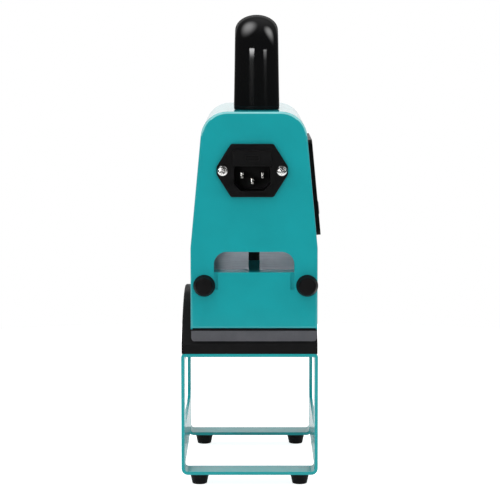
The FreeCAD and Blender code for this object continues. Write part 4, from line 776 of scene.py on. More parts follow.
def folded_sheet(outline, runs, sheet, edge, closed=False, steps=5):
    """A sheet cut flat as half its blank, mirrored, thickened, its edges broken, and bent along runs.

    Where it is closed, its two ends meet and are left open to each other.
    """
    bm = bmesh.new()
    cut_face(bm, outline)
    bmesh.ops.mirror(bm, geom=everything(bm), axis="Y", merge_dist=MERGE)
    end = 0.0
    for run, turn in runs:
        lines = [end + run * step / steps for step in range(steps + 1)] if turn else []
        for line in lines + [-line for line in lines]:
            bmesh.ops.bisect_plane(
                bm, geom=everything(bm), dist=MERGE, plane_co=(line, 0, 0), plane_no=(1, 0, 0)
            )
        end += run
    thicken(bm, bm.faces[:], (0, 0, sheet))

    def at_seam(item):
        return closed and all(abs(vert.co.x) > end - NEAR for vert in item.verts)

    round_edges(bm, sharp_edges(bm, lambda item: not at_seam(item)), edge, steps=2)
    bmesh.ops.delete(bm, geom=[face for face in bm.faces if at_seam(face)], context="FACES_ONLY")
    for vert in bm.verts:
        vert.co = fold_point(vert.co, runs)
    bmesh.ops.remove_doubles(bm, verts=bm.verts, dist=SEAM)
    return bm


def publish(bm, name, body, slot, stands_for=(), smooth=SMOOTH, looks=()):
    """Writes a finished mesh as a piece: it rides on a body, takes a finish and stands for its CAD nodes.

    Where looks are given, the piece's faces take those finishes by their material index.
    """
    bmesh.ops.remove_doubles(bm, verts=bm.verts, dist=MERGE)
    bmesh.ops.recalc_face_normals(bm, faces=bm.faces)
    mesh = bpy.data.meshes.new(name)
    bm.to_mesh(mesh)
    bm.free()
    mesh.shade_smooth()
    mesh.set_sharp_from_angle(angle=math.radians(smooth))
    for look in looks or (slot,):
        mesh.materials.append(finish(look))
    piece = bpy.data.objects.new(name, mesh)
    bpy.context.scene.collection.objects.link(piece)
    even = piece.modifiers.new("even shading", "WEIGHTED_NORMAL")
    even.keep_sharp = True
    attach(piece, body)
    if stands_for:
        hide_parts(*stands_for)
    return piece


# Operators


class CAPPRESS_OT_stand_frame(bpy.types.Operator):
    """Fold the stand from one sheet"""

    bl_idname = "cap_press.stand_frame"
    bl_label = "Stand frame"

    def execute(self, context):
        sizes = context.scene.cap_press.stand
        half, top = STAND_HIGH.x, STAND_HIGH.z
        wall = top - STAND_LOW.z - sizes.top_bend - sizes.bend
        runs = (
            (half - sizes.top_bend, 0), (sizes.top_bend * QUARTER, QUARTER), (wall, 0),
            (sizes.bend * QUARTER, QUARTER), (half - sizes.bend, 0),
        )
        wall_start = runs[0][0] + runs[1][0]
        window_head, window_foot, well_head = (
            wall_start + top - sizes.top_bend - level
            for level in (sizes.window_head, sizes.window_foot, sizes.well_head)
        )
        end = sum(run for run, _ in runs)
        inner, outer = STAND_HIGH.y - sizes.bar, STAND_HIGH.y
        right = (
            (window_head, 0, 0),
            (window_head, inner, sizes.window_corner),
            (window_foot, inner, sizes.window_corner),
            (window_foot, 0, 0),
            (well_head, 0, 0),
            (well_head, inner, sizes.well_corner),
            (end, inner, 0),
            (end, outer, 0),
        )
        left = tuple((-along, across, rounding) for along, across, rounding in reversed(right))
        bm = folded_sheet(left + right, runs, sizes.sheet, sizes.edge, closed=True)
        bmesh.ops.translate(bm, verts=bm.verts, vec=(0, 0, top))
        publish(bm, "stand_sheet", "stand", "teal_coat", ("stand_frame",), looks=("teal_stand",))
        return {"FINISHED"}


# Rounded edges of the turned rubber pieces, in millimetres:
# how far inside the edge, and how far from its plane.
FOOT_RECESS_LIP = ((0.0, 0.5), (-0.5, 0.0))
FOOT_BASE_LIP = ((0.7, 0.0), (0.2, 0.2), (0.0, 0.7))
FOOT_HEAD_LIP = ((0.35, 1.0), (0.0, 0.4), (0.3, 0.0))
BUMPER_BASE_LIP = ((0.2, 0.0), (0.0, 0.25), (0.1, 0.8))
BUMPER_FACE_LIP = ((-0.35, 1.6), (-0.1, 0.7), (0.5, 0.12), (1.2, 0.0))


class CAPPRESS_OT_stand_feet(bpy.types.Operator):
    """Turn the four rubber feet and their screws"""

    bl_idname = "cap_press.stand_feet"
    bl_label = "Stand feet"

    def execute(self, context):
        sizes = context.scene.cap_press.stand
        top = FOOT_HIGH.z
        head, base, recess = sizes.foot_head / 2, sizes.foot_base / 2, sizes.foot_recess
        web = top - sizes.foot_web
        profile = [
            (0, web),
            (recess, web),
            *lip(FOOT_RECESS_LIP, recess, 0, 1),
            *lip(FOOT_BASE_LIP, base, 0, 1),
            *lip(FOOT_HEAD_LIP, head, top, -1),
            (0, top),
        ]
        screw = (sizes.foot_screw, sizes.foot_screw_rise, sizes.foot_screw_shank, sizes.foot_screw_reach)
        across, along = FOOT_HIGH.x - head, FOOT_HIGH.y - head
        upside_down = Matrix.Rotation(math.pi, 4, "X")
        feet, screws = bmesh.new(), bmesh.new()
        for x in (-across, across):
            for y in (-along, along):
                turned(feet, profile, Matrix.Translation((x, y, 0)))
                cross_screw(screws, *screw, Matrix.Translation((x, y, web)) @ upside_down)
        publish(feet, "rubber_feet", "stand", "black_rubber", ("stand_feet",))
        publish(screws, "foot_cross_screws", "stand", "zinc_steel", ("foot_screws",), smooth=CRISP)
        return {"FINISHED"}


def pad_arc(sizes):
    """Radius of the pad's arch and the height of its middle."""
    half = PAD_HIGH.y
    rise = PAD_HIGH.z - PAD_LOW.z - sizes.edge_height
    radius = (half * half + rise * rise) / (2 * rise)
    return radius, PAD_HIGH.z - radius


class CAPPRESS_OT_silicone_pad(bpy.types.Operator):
    """Mould the arched silicone pad"""

    bl_idname = "cap_press.silicone_pad"
    bl_label = "Silicone pad"

    def execute(self, context):
        sizes = context.scene.cap_press.pad
        radius, middle = pad_arc(sizes)
        sweep = math.asin(PAD_HIGH.y / radius)
        bm = bmesh.new()
        start = middle + radius * math.cos(sweep)
        verts = [bm.verts.new((x, PAD_LOW.y, start)) for x in (PAD_LOW.x, PAD_HIGH.x)]
        edge = bm.edges.new(verts)
        bmesh.ops.spin(
            bm, geom=verts + [edge], cent=(0, 0, middle), axis=(-1, 0, 0), dvec=(0, 0, 0), angle=2 * sweep,
            steps=sizes.arc_steps, use_merge=False,
        )
        under = bmesh.ops.extrude_face_region(bm, geom=bm.faces[:], use_keep_orig=True)["geom"]
        for vert in under:
            if isinstance(vert, bmesh.types.BMVert):
                vert.co.z = PAD_LOW.z
        bmesh.ops.recalc_face_normals(bm, faces=bm.faces)
        low = at_level(PAD_LOW.z)
        round_edges(bm, sharp_edges(bm, lambda edge: not low(edge)), sizes.edge, steps=4)
        pad = publish(bm, "arched_pad", "stand", "silicone", ("silicone_pad",))
        return {"FINISHED"}


# How far the platen is swept past its ends, in radians, before they are cut upright.
OVERSWEEP = 0.05


class CAPPRESS_OT_heating_platen(bpy.types.Operator):
    """Bend the platen to the pad's arch"""

    bl_idname = "cap_press.heating_platen"
    bl_label = "Heating platen"

    def execute(self, context):
        sizes = context.scene.cap_press.pad
        radius, middle = pad_arc(sizes)
        inner = radius + sizes.rest_gap
        outer = inner + sizes.platen
        sweep = math.asin(PLATEN_HIGH.y / inner) + OVERSWEEP
        bm = bmesh.new()
        corners = (
            (PLATEN_LOW.x, inner, sizes.platen_edge), (PLATEN_HIGH.x, inner, sizes.platen_edge),
            (PLATEN_HIGH.x, outer, 0), (PLATEN_LOW.x, outer, 0),
        )
        cut_face(bm, corners)
        bmesh.ops.transform(bm, matrix=Matrix.Rotation(QUARTER + sweep, 4, "X"), verts=bm.verts)
        bmesh.ops.spin(
            bm, geom=everything(bm), cent=(0, 0, 0), axis=(-1, 0, 0), dvec=(0, 0, 0), angle=2 * sweep,
            steps=sizes.arc_steps, use_merge=False,
        )
        for end in (-1, 1):
            cut = bmesh.ops.bisect_plane(
                bm, geom=everything(bm), dist=MERGE, plane_co=(0, end * PLATEN_HIGH.y, 0),
                plane_no=(0, end, 0), clear_outer=True,
            )["geom_cut"]
            rim = [item for item in cut if isinstance(item, bmesh.types.BMEdge)]
            bmesh.ops.contextual_create(bm, geom=rim)
        bmesh.ops.translate(bm, verts=bm.verts, vec=(0, 0, middle))
        bmesh.ops.recalc_face_normals(bm, faces=bm.faces)
        round_edges(bm, sharp_edges(bm), sizes.platen_cut, steps=2)
        publish(bm, "curved_platen", "press_head", "coated_platen", ("heating_platen",))
        return {"FINISHED"}


def casing_line(sizes):
    """Half the casing's width at its top if its shoulders were square, and the shoulder's tangent."""
    half = (PANEL_HIGH.x - PANEL_LOW.x) / 2
    corner = half - (PANEL_HIGH.z - sizes.base) * math.tan(sizes.lean)
    return corner, sizes.shoulder * math.tan((QUARTER - sizes.lean) / 2)


class CAPPRESS_OT_casing_wrapper(bpy.types.Operator):
    """Fold the casing's wrapper over its shoulders"""

    bl_idname = "cap_press.casing_wrapper"
    bl_label = "Casing wrapper"

    def execute(self, context):
        sizes = context.scene.cap_press.casing
        corner, tangent = casing_line(sizes)
        turn = QUARTER - sizes.lean
        wall = (PANEL_HIGH.z - sizes.base) / math.cos(sizes.lean) - tangent
        runs = ((corner - tangent, 0), (sizes.shoulder * turn, turn), (wall, 0))
        end = sum(run for run, _ in runs)
        hatch_low = end - sizes.hatch_foot
        hatch_high = hatch_low - sizes.hatch_height
        outline = (
            (-end, 0, 0), (hatch_high, 0, 0), (hatch_high, sizes.hatch_half, sizes.hatch_corner),
            (hatch_low, sizes.hatch_half, sizes.hatch_corner), (hatch_low, 0, 0), (end, 0, 0),
            (end, CASING_HIGH.y, 0), (-end, CASING_HIGH.y, 0),
        )
        bm = folded_sheet(outline, runs, sizes.sheet, sizes.cut_edge, steps=10)
        bmesh.ops.translate(bm, verts=bm.verts, vec=(HEAD_MIDDLE, 0, PANEL_HIGH.z))
        publish(bm, "casing_sheet", "press_head", "teal_coat", ("casing_wrapper",))
        return {"FINISHED"}


def panel_blank(sizes):
    """An end panel, flat: half the plate with its arch window and the tongue in it, mirrored to a whole."""
    corner, tangent = casing_line(sizes)
    half = (PANEL_HIGH.x - PANEL_LOW.x) / 2
    bm = bmesh.new()
    cut_face(
        bm,
        (
            (0, PANEL_LOW.z, 0), (0, sizes.tongue_head, 0),
            (sizes.tongue_half, sizes.tongue_head, sizes.tongue_corner),
            (sizes.tongue_half, sizes.slot_foot, 0), (sizes.arch_half, sizes.slot_foot, 0),
            (sizes.arch_half, sizes.arch_head, sizes.arch_corner), (0, sizes.arch_head, 0),
            (0, PANEL_HIGH.z, 0), (corner, PANEL_HIGH.z, tangent), (half, sizes.base, 0),
            (half, PANEL_LOW.z, 0),
        ),
        steps=10,
    )
    bmesh.ops.mirror(bm, geom=everything(bm), axis="X", merge_dist=MERGE)
    return bm


def split_faces(bm, faces, place, way):
    """Splits faces of a flat plate along a line through a place, square to a direction."""
    edges = {edge for face in faces for edge in face.edges}
    bmesh.ops.bisect_plane(bm, geom=faces + list(edges), dist=MERGE, plane_co=place, plane_no=way)


def cut_opening(bm, low, high):
    """Cuts a square opening into a flat plate, away from its other openings."""
    for height in (low.y, high.y):
        above = [face for face in bm.faces if max(vert.co.y for vert in face.verts) > low.y]
        split_faces(bm, above, (0, height, 0), (0, 1, 0))
    for side in (low.x, high.x):
        band = [face for face in bm.faces if low.y < face.calc_center_median().y < high.y]
        split_faces(bm, band, (side, 0, 0), (1, 0, 0))
    inside = []
    for face in bm.faces:
        centre = face.calc_center_bounds()
        if low.x < centre.x < high.x and low.y < centre.y < high.y:
            inside.append(face)
    bmesh.ops.delete(bm, geom=inside, context="FACES")


# The end panels' rounded outline is painted pale, as a highlight of the light from above, where it faces
# outwards and upwards by at least these shares.
HIGHLIGHT_OUTWARD, HIGHLIGHT_UPWARD = 0.6, 0.1


class CAPPRESS_OT_end_panels(bpy.types.Operator):
    """Cut the two end panels"""

    bl_idname = "cap_press.end_panels"
    bl_label = "End panels"

    def execute(self, context):
        sizes = context.scene.cap_press.casing
        inlet = context.scene.cap_press.inlet
        middle = Vector(((INLET_LOW.x + INLET_HIGH.x) / 2 - HEAD_MIDDLE, (INLET_LOW.z + INLET_HIGH.z) / 2))
        core = Vector((inlet.core_half + inlet.core_gap, inlet.core_rise + inlet.core_gap))
        inlet_blank = panel_blank(sizes)
        cut_opening(inlet_blank, middle - core, middle + core)
        self.form_panel(inlet_blank, sizes, 0)
        self.publish_panel(inlet_blank, "inlet_panel", "inlet_end_panel")
        plain_blank = panel_blank(sizes)
        self.form_panel(plain_blank, sizes, math.pi)
        self.publish_panel(plain_blank, "plain_panel", "plain_end_panel")
        return {"FINISHED"}

    def form_panel(self, bm, sizes, turn):
        """Thickens a flat panel, rounds its outline and window, and stands it at its end of the casing."""
        sheet = PANEL_HIGH.y - PANEL_LOW.y
        thicken(bm, bm.faces[:], (0, 0, sheet))
        front = at_level(sheet)

        def in_openings(edge):
            spot = (edge.verts[0].co + edge.verts[1].co) / 2
            between = PANEL_LOW.z + MM < spot.y < PANEL_HIGH.z - sizes.shoulder
            return between and abs(spot.x) < sizes.arch_half + MM

        def in_window(edge):
            return in_openings(edge) and edge.verts[0].co.y < sizes.arch_head + MM

        outline = sharp_edges(bm, lambda edge: front(edge) and not in_openings(edge))
        # The outline's rounding takes index 1 and keeps it only where it faces outwards and upwards: the
        # rim's painted highlight.
        round_edges(bm, outline, sizes.end_edge, steps=6, material=1)
        bm.normal_update()
        for face in bm.faces:
            if face.normal.z < HIGHLIGHT_OUTWARD or face.normal.y < HIGHLIGHT_UPWARD:
                face.material_index = 0
        window = sharp_edges(bm, lambda edge: front(edge) and in_window(edge))
        round_edges(bm, window, sizes.cut_edge, steps=2)
        place = (
            Matrix.Translation((HEAD_MIDDLE, 0, 0))
            @ Matrix.Rotation(turn, 4, "Z")
            @ STANDING
            @ Matrix.Translation((0, 0, -PANEL_HIGH.y))
        )
        bmesh.ops.transform(bm, matrix=place, verts=bm.verts)

    def publish_panel(self, bm, name, node):
        """Writes a panel; its faces with index 1 are the rim's painted highlight."""
        publish(bm, name, "press_head", "teal_coat", (node,), looks=("teal_coat", "teal_painted_highlight"))


class CAPPRESS_OT_end_bumpers(bpy.types.Operator):
    """Turn the four rubber bumpers on the end panels"""

    bl_idname = "cap_press.end_bumpers"
    bl_label = "End bumpers"

    def execute(self, context):
        sizes = context.scene.cap_press.casing
        base, face = sizes.bumper_base / 2, sizes.bumper_face / 2
        foot, tip = -PANEL_LOW.y, BUMPER_HIGH.y
        profile = [
            (0, foot),
            *lip(BUMPER_BASE_LIP, base, foot, 1),
            *lip(BUMPER_FACE_LIP, face, tip, -1),
            (0, tip),
        ]
        level = (BUMPER_LOW.z + BUMPER_HIGH.z) / 2
        bm = bmesh.new()
        for x in (BUMPER_LOW.x + base, BUMPER_HIGH.x - base):
            for turn in (0, math.pi):
                spot = Matrix.Translation((x, 0, level)) @ Matrix.Rotation(turn, 4, "Z")
                turned(bm, profile, spot @ STANDING)
        publish(bm, "rubber_bumpers", "press_head", "black_rubber", ("end_bumpers",))
        return {"FINISHED"}


class CAPPRESS_OT_handle(bpy.types.Operator):
    """Sweep the bridge handle and lay the pads under its legs"""

    bl_idname = "cap_press.handle"
    bl_label = "Handle"

    def execute(self, context):
        sizes = context.scene.cap_press.handle
        across = (HANDLE_HIGH.x + HANDLE_LOW.x) / 2
        leg = HANDLE_LOW.y + sizes.thickness / 2
        self.sweep_bridge(sizes, across, leg)
        self.lay_pads(sizes, across, leg)
        return {"FINISHED"}

    def sweep_bridge(self, sizes, across, leg):
        """Draws half the handle upright, bends it, widens it towards its foot and mirrors it."""
        thick = sizes.thickness / 2
        rise = HANDLE_HIGH.z - thick - sizes.bend - HANDLE_LOW.z
        arc = sizes.bend * QUARTER
        end = rise + arc - leg - sizes.bend
        stops = [rise * step / sizes.leg_steps for step in range(1, sizes.leg_steps + 1)]
        stops += [rise + arc * step / sizes.bend_steps for step in range(1, sizes.bend_steps + 1)]
        bm = bmesh.new()
        edges = oval(bm, sizes.grip_width / 2, thick, 0, sizes.sides)
        at = 0.0
        for stop in stops + [end]:
            edges = drawn(bm, edges, (0, 0, stop - at))
            at = stop
        round_edges(bm, sharp_edges(bm, at_level(0)), sizes.foot_edge)
        spread = (HANDLE_HIGH.x - HANDLE_LOW.x) / sizes.grip_width - 1
        for vert in bm.verts:
            x, inward, along = vert.co
            x *= 1 + spread * (1 - along / end) ** 2
            swing = min(max(along - rise, 0), arc) / sizes.bend
            reach = sizes.bend - inward
            vert.co.x = across + x
            vert.co.y = leg + sizes.bend - reach * math.cos(swing) + max(along - rise - arc, 0)
            vert.co.z = HANDLE_LOW.z + min(along, rise) + reach * math.sin(swing)
        bmesh.ops.mirror(bm, geom=everything(bm), axis="Y", merge_dist=SEAM)
        publish(bm, "bridge_handle", "press_head", "gloss_black", ("handle",))

    def lay_pads(self, sizes, across, leg):
        """Cuts the oval pads under the two legs."""
        half = (HANDLE_PAD_HIGH.x - HANDLE_PAD_LOW.x) / 2
        depth = leg - HANDLE_PAD_LOW.y
        low, high = HANDLE_PAD_LOW.z, HANDLE_PAD_HIGH.z
        bm = bmesh.new()
        for side in (leg, -leg):
            old = set(bm.verts)
            edges = drawn(bm, oval(bm, half, depth, low, sizes.sides), (0, 0, high - low))
            bmesh.ops.contextual_create(bm, geom=edges)
            foot = [edge for edge in sharp_edges(bm, at_level(low)) if edge.verts[0] not in old]
            round_edges(bm, foot, sizes.pad_edge)
            moved(bm, old, Matrix.Translation((across, side, 0)))
        publish(bm, "leg_pads", "press_head", "black_rubber", ("handle_pads",))


# How far the cross recesses of the two inlet screws are turned, in radians.
INLET_SCREW_TURNS = (0.4, 0.75)


class CAPPRESS_OT_inlet(bpy.types.Operator):
    """Mould the mains inlet with its pins and screws"""

    bl_idname = "cap_press.inlet"
    bl_label = "Mains inlet"

    def execute(self, context):
        sizes = context.scene.cap_press.inlet
        middle = (INLET_LOW.x + INLET_HIGH.x) / 2
        self.mould_body(sizes, middle)
        self.set_pins(sizes, middle)
        self.set_screws(sizes)
        return {"FINISHED"}

    def mould_body(self, sizes, middle):
        """Moulds the flange with its socket and drawer slot, and the body behind it."""
        half = (INLET_HIGH.x - INLET_LOW.x) / 2
        rise = (INLET_HIGH.z - INLET_LOW.z) / 2
        slope = sizes.socket_half - sizes.socket_slope
        bm = bmesh.new()
        cut_face(
            bm,
            (
                (0, -rise, 0), (sizes.flat, -rise, sizes.corner), (half, -sizes.nose, sizes.corner),
                (half, sizes.nose, sizes.corner), (sizes.flat, rise, sizes.corner), (0, rise, 0),
                (0, sizes.drawer_head, 0), (sizes.drawer_half, sizes.drawer_head, sizes.drawer_corner),
                (sizes.drawer_half, sizes.drawer_foot, sizes.drawer_corner), (0, sizes.drawer_foot, 0),
                (0, sizes.socket_head, 0), (sizes.socket_half, sizes.socket_head, sizes.head_corner),
                (sizes.socket_half, sizes.socket_slope - sizes.socket_foot, sizes.slope_corner),
                (slope, -sizes.socket_foot, sizes.slope_corner), (0, -sizes.socket_foot, 0),
            ),
            sizes.flange,
        )
        bmesh.ops.mirror(bm, geom=everything(bm), axis="X", merge_dist=MERGE)

        def in_mouths(edge):
            return all(
                abs(vert.co.x) < sizes.socket_half + NEAR
                and -sizes.socket_foot - NEAR < vert.co.y < sizes.drawer_head + NEAR
                for vert in edge.verts
            )

        rim = [edge for edge in bm.edges if edge.is_boundary]
        mouths = [edge for edge in rim if in_mouths(edge)]
        back = drawn(bm, [edge for edge in rim if not in_mouths(edge)], (0, 0, -sizes.flange))
        socket = [edge for edge in mouths if edge.verts[0].co.y < sizes.socket_head + MM]
        slot = [edge for edge in mouths if edge not in socket]
        for mouth in (socket, slot):
            bmesh.ops.contextual_create(bm, geom=drawn(bm, mouth, (0, 0, -sizes.socket_depth)))
        wide, tall = sizes.core_half, sizes.core_rise
        core = closed_line(bm, ((-wide, -tall, 0), (wide, -tall, 0), (wide, tall, 0), (-wide, tall, 0)))
        bmesh.ops.bridge_loops(bm, edges=back + core)
        bmesh.ops.contextual_create(bm, geom=drawn(bm, core, (0, 0, -sizes.core_depth)))
        bmesh.ops.recalc_face_normals(bm, faces=bm.faces)
        front = at_level(sizes.flange)
        outline = sharp_edges(bm, lambda edge: front(edge) and not in_mouths(edge))
        round_edges(bm, outline, sizes.flange_edge, steps=3)
        mouth_rims = sharp_edges(bm, lambda edge: front(edge) and in_mouths(edge))
        round_edges(bm, mouth_rims, sizes.mouth_edge, steps=2)
        spot = (middle, INLET_LOW.y + sizes.flange, (INLET_LOW.z + INLET_HIGH.z) / 2)
        bmesh.ops.transform(bm, matrix=Matrix.Translation(spot) @ STANDING, verts=bm.verts)
        publish(bm, "inlet_moulding", "press_head", "black_plastic", ("inlet_body",))

    def set_pins(self, sizes, middle):
        """Sets the two upper pins and the lower one."""
        wide, tall, reach = sizes.pin_width, sizes.pin_height, PIN_HIGH.y - PIN_LOW.y
        upper, lower = PIN_HIGH.z - tall / 2, PIN_LOW.z + tall / 2
        along = (PIN_LOW.y + PIN_HIGH.y) / 2
        bm = bmesh.new()
        for x, z in ((PIN_LOW.x + wide / 2, upper), (PIN_HIGH.x - wide / 2, upper), (middle, lower)):
            old = set(bm.verts)
            bmesh.ops.create_cube(bm, size=1, matrix=Matrix.Diagonal((wide, tall, reach, 1)))
            at_tip = at_level(reach / 2)
            tip = [edge for edge in bm.edges if edge.verts[0] not in old and at_tip(edge)]
            round_edges(bm, tip, sizes.pin_tip, steps=3)
            moved(bm, old, Matrix.Translation((x, along, z)) @ STANDING)
        publish(bm, "inlet_blades", "press_head", "nickel_pin", ("inlet_pins",))

    def set_screws(self, sizes):
        """Sets the two screws that hold the inlet."""
        shank = SCREW_HIGH.y - SCREW_LOW.y - sizes.screw_rise
        sides = (SCREW_LOW.x + sizes.screw_head, SCREW_HIGH.x - sizes.screw_head)
        bm = bmesh.new()
        for x, turn in zip(sides, INLET_SCREW_TURNS):
            spot = (x, SCREW_LOW.y + sizes.screw_rise, (SCREW_LOW.z + SCREW_HIGH.z) / 2)
            place = Matrix.Translation(spot) @ STANDING @ Matrix.Rotation(turn, 4, "Z")
            cross_screw(bm, sizes.screw_head, sizes.screw_rise, sizes.screw_shank, shank, place)
        publish(bm, "inlet_cross_screws", "press_head", "zinc_steel", ("inlet_screws",), smooth=CRISP)


class CAPPRESS_OT_fuse_drawer(bpy.types.Operator):
    """Mould the fuse drawer"""

    bl_idname = "cap_press.fuse_drawer"
    bl_label = "Fuse drawer"

    def execute(self, context):
        sizes = context.scene.cap_press.drawer
        centre = (DRAWER_LOW + DRAWER_HIGH) / 2
        centre.y = DRAWER_LOW.y + sizes.face
        bm = bmesh.new()
        self.mould_face(bm, sizes, centre)
        self.mould_tray(bm, sizes, centre)
        publish(bm, "fuse_tray", "fuse_carrier", "black_plastic", ("fuse_drawer",))
        return {"FINISHED"}

    def mould_face(self, bm, sizes, centre):
        """Moulds the drawer's face with the recess of its grip."""
        half = (DRAWER_HIGH.x - DRAWER_LOW.x) / 2
        rise = (DRAWER_HIGH.z - DRAWER_LOW.z) / 2
        wide, tall = sizes.grip_half, sizes.grip_rise
        bottom = sizes.face - sizes.grip_depth
        cut_face(
            bm,
            (
                (0, -rise, 0), (half, -rise, sizes.corner), (half, rise, sizes.corner), (0, rise, 0),
                (0, tall, 0), (wide, tall, sizes.grip_corner), (wide, -tall, sizes.grip_corner),
                (0, -tall, 0),
            ),
            bottom,
        )
        bmesh.ops.mirror(bm, geom=everything(bm), axis="X", merge_dist=MERGE)
        thicken(bm, bm.faces[:], (0, 0, sizes.grip_depth))
        round_edges(bm, sharp_edges(bm, at_level(sizes.face)), sizes.edge, steps=2)
        rounded_block(bm, Vector((-half, -rise, 0)), Vector((half, rise, bottom)), sizes.corner)
        bmesh.ops.transform(bm, matrix=Matrix.Translation(centre) @ STANDING, verts=bm.verts)

    def mould_tray(self, bm, sizes, centre):
        """Moulds the tray behind the face with the trough that holds the fuse."""
        side, base = sizes.tray_half, sizes.tray_floor - sizes.tray_rise
        fuse_low, fuse_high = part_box("fuse")
        trough = (fuse_low.y + fuse_high.y) / 2
        near, far = trough - sizes.trough_reach, trough + sizes.trough_reach
        old = set(bm.verts)
        walls = cut_face(
            bm,
            (
                (0, centre.y, 0), (side, centre.y, 0), (side, DRAWER_HIGH.y, sizes.tray_corner),
                (0, DRAWER_HIGH.y, 0), (0, far, 0), (sizes.trough_half, far, 0),
                (sizes.trough_half, near, 0), (0, near, 0),
            ),
            base,
        )
        fresh = [vert for vert in bm.verts if vert not in old]
        bmesh.ops.mirror(bm, geom=fresh + loop_edges(fresh) + walls, axis="X", merge_dist=MERGE)
        walls = [face for face in bm.faces if not old.intersection(face.verts)]
        thicken(bm, walls, (0, 0, 2 * sizes.tray_rise - sizes.tray_floor))
        low = Vector((-side, centre.y, -sizes.tray_rise))
        rounded_block(bm, low, Vector((side, DRAWER_HIGH.y, base)), sizes.floor_corner)
        moved(bm, old, Matrix.Translation((centre.x, 0, centre.z)))


# Shapes of the signs on the keys, as shares of a sign's height, apart from the angle of the ring's gap.
# A sign's top points to -X.
POWER_RING = (0.38, 0.5)
POWER_GAP = math.radians(38)
POWER_BAR = (-0.52, -0.02, 0.06)
MODE_BARS = ((-0.39, -0.25, 0.5), (-0.07, 0.07, 0.36), (0.25, 0.39, 0.22))
ARROW_TIP, ARROW_TAIL, ARROW_HALF, ARROW_CORNER = 0.4, 0.32, 0.45, 0.05


def add_bar(bm, bar, size, level):
    """A flat bar of a sign, given by its two ends and half its width."""
    start, stop, half = (share * size for share in bar)
    cut_face(bm, ((start, -half, 0), (stop, -half, 0), (stop, half, 0), (start, half, 0)), level)


def add_power_sign(bm, size, level):
    """A broken ring with an upright bar."""
    verts = [bm.verts.new((share * size, 0, level)) for share in POWER_RING]
    edge = bm.edges.new(verts)
    bmesh.ops.spin(
        bm, geom=verts + [edge], cent=(0, 0, 0), axis=(0, 0, 1), dvec=(0, 0, 0),
        angle=math.tau - 2 * POWER_GAP, steps=24, use_merge=False,
    )
    bmesh.ops.transform(bm, matrix=Matrix.Rotation(math.pi + POWER_GAP, 4, "Z"), verts=bm.verts)
    add_bar(bm, POWER_BAR, size, level)


def add_mode_sign(bm, size, level):
    """Three short bars of falling length."""
    for bar in MODE_BARS:
        add_bar(bm, bar, size, level)


def add_arrow_sign(bm, size, level, way):
    """A triangle that points down where way is 1 and up where it is -1."""
    tip, tail, half, corner = (share * size for share in (ARROW_TIP, ARROW_TAIL, ARROW_HALF, ARROW_CORNER))
    cut_face(bm, ((way * tip, 0, corner), (-way * tail, half, corner), (-way * tail, -half, corner)), level)


class CAPPRESS_OT_keys(bpy.types.Operator):
    """Mould the four keys and print their signs"""

    bl_idname = "cap_press.keys"
    bl_label = "Keys"

    def execute(self, context):
        sizes = context.scene.cap_press.control
        turn = QUARTER - context.scene.cap_press.casing.lean
        panel = Matrix.Translation((sizes.across, 0, sizes.level)) @ Matrix.Rotation(turn, 4, "Y")
        signs = {
            "power_key": add_power_sign,
            "mode_key": add_mode_sign,
            "down_key": lambda bm, size, level: add_arrow_sign(bm, size, level, 1),
            "up_key": lambda bm, size, level: add_arrow_sign(bm, size, level, -1),
        }
        for index, (node, sign) in enumerate(signs.items()):
            along = (index - (len(signs) - 1) / 2) * sizes.key_pitch
            place = panel @ Matrix.Translation((sizes.key_row, along, 0))
            cap = self.mould_cap(sizes)
            bmesh.ops.transform(cap, matrix=place, verts=cap.verts)
            publish(cap, node + "_cap", node + "_body", "grey_key", (node,))
            mark = bmesh.new()
            sign(mark, sizes.mark, sizes.key_rise + sizes.mark_lift)
            bmesh.ops.transform(mark, matrix=place, verts=mark.verts)
            publish(mark, node + "_sign", node + "_body", "key_print")
        return {"FINISHED"}

    def mould_cap(self, sizes):
        """A key, flat: its flange behind the bezel, its cap and the stem that meets the switch."""
        bm = bmesh.new()
        flange = Vector((sizes.flange_height / 2, sizes.flange_width / 2, -sizes.flange_top))
        rounded_block(bm, Vector((-flange.x, -flange.y, -sizes.flange_foot)), flange, sizes.flange_corner)
        cap = Vector((sizes.key_height / 2, sizes.key_width / 2, sizes.key_rise))
        rounded_block(bm, Vector((-cap.x, -cap.y, -sizes.key_sink)), cap, sizes.key_corner)
        round_edges(bm, sharp_edges(bm, at_level(sizes.key_rise)), sizes.key_edge, steps=4)
        low, high = -sizes.stem_foot, -sizes.stem_top
        turned(bm, ((0, low), (sizes.stem, low), (sizes.stem, high), (0, high)), Matrix(), steps=20)
        return bm


class CAPPRESS_OT_finishes(bpy.types.Operator):
    """Give every CAD node that still shows its finish"""

    bl_idname = "cap_press.finishes"
    bl_label = "Finishes of the other pieces"

    def execute(self, context):
        slots = {part["node"]: part["material_slot"] for part in frame["record"]["subparts"]}
        for node, piece in frame["nodes"].items():
            for slot in piece.material_slots:
                slot.material = finish(slots[node])
        return {"FINISHED"}


# Windows and softboxes that only gloss shows: two parts of the direction, the part and the sign that
# tell their side, their middle and reach in the first two, how boxy they are, how much of them
# fades out, and how bright they are.
MIRRORED_LIGHTS = (
    ("X", "Z", "Y", -1, (-0.30, 0.080), (0.165, 0.086), 8, 0.15, 12),
    ("X", "Z", "Y", -1, (-0.34, -0.03), (0.10, 0.10), 2, 0.9, 0.03),
    ("X", "Z", "Y", -1, (0.535, 0.050), (0.14, 0.070), 4, 0.6, 5),
    ("X", "Y", "Z", 1, (-0.38, -0.02), (0.48, 0.56), 2, 0.9, 4.4),
    ("X", "Y", "Z", 1, (0.65, -0.08), (0.34, 0.40), 2, 0.9, 4.8),
    ("X", "Y", "Z", 1, (0.10, 0.30), (0.90, 0.95), 2, 0.9, 0.22),
)
# Between these shares of the way along Y, what gloss shows goes from the dark side
# to the white wall at the back.
WHITE_WALL = (0.72, 0.95)
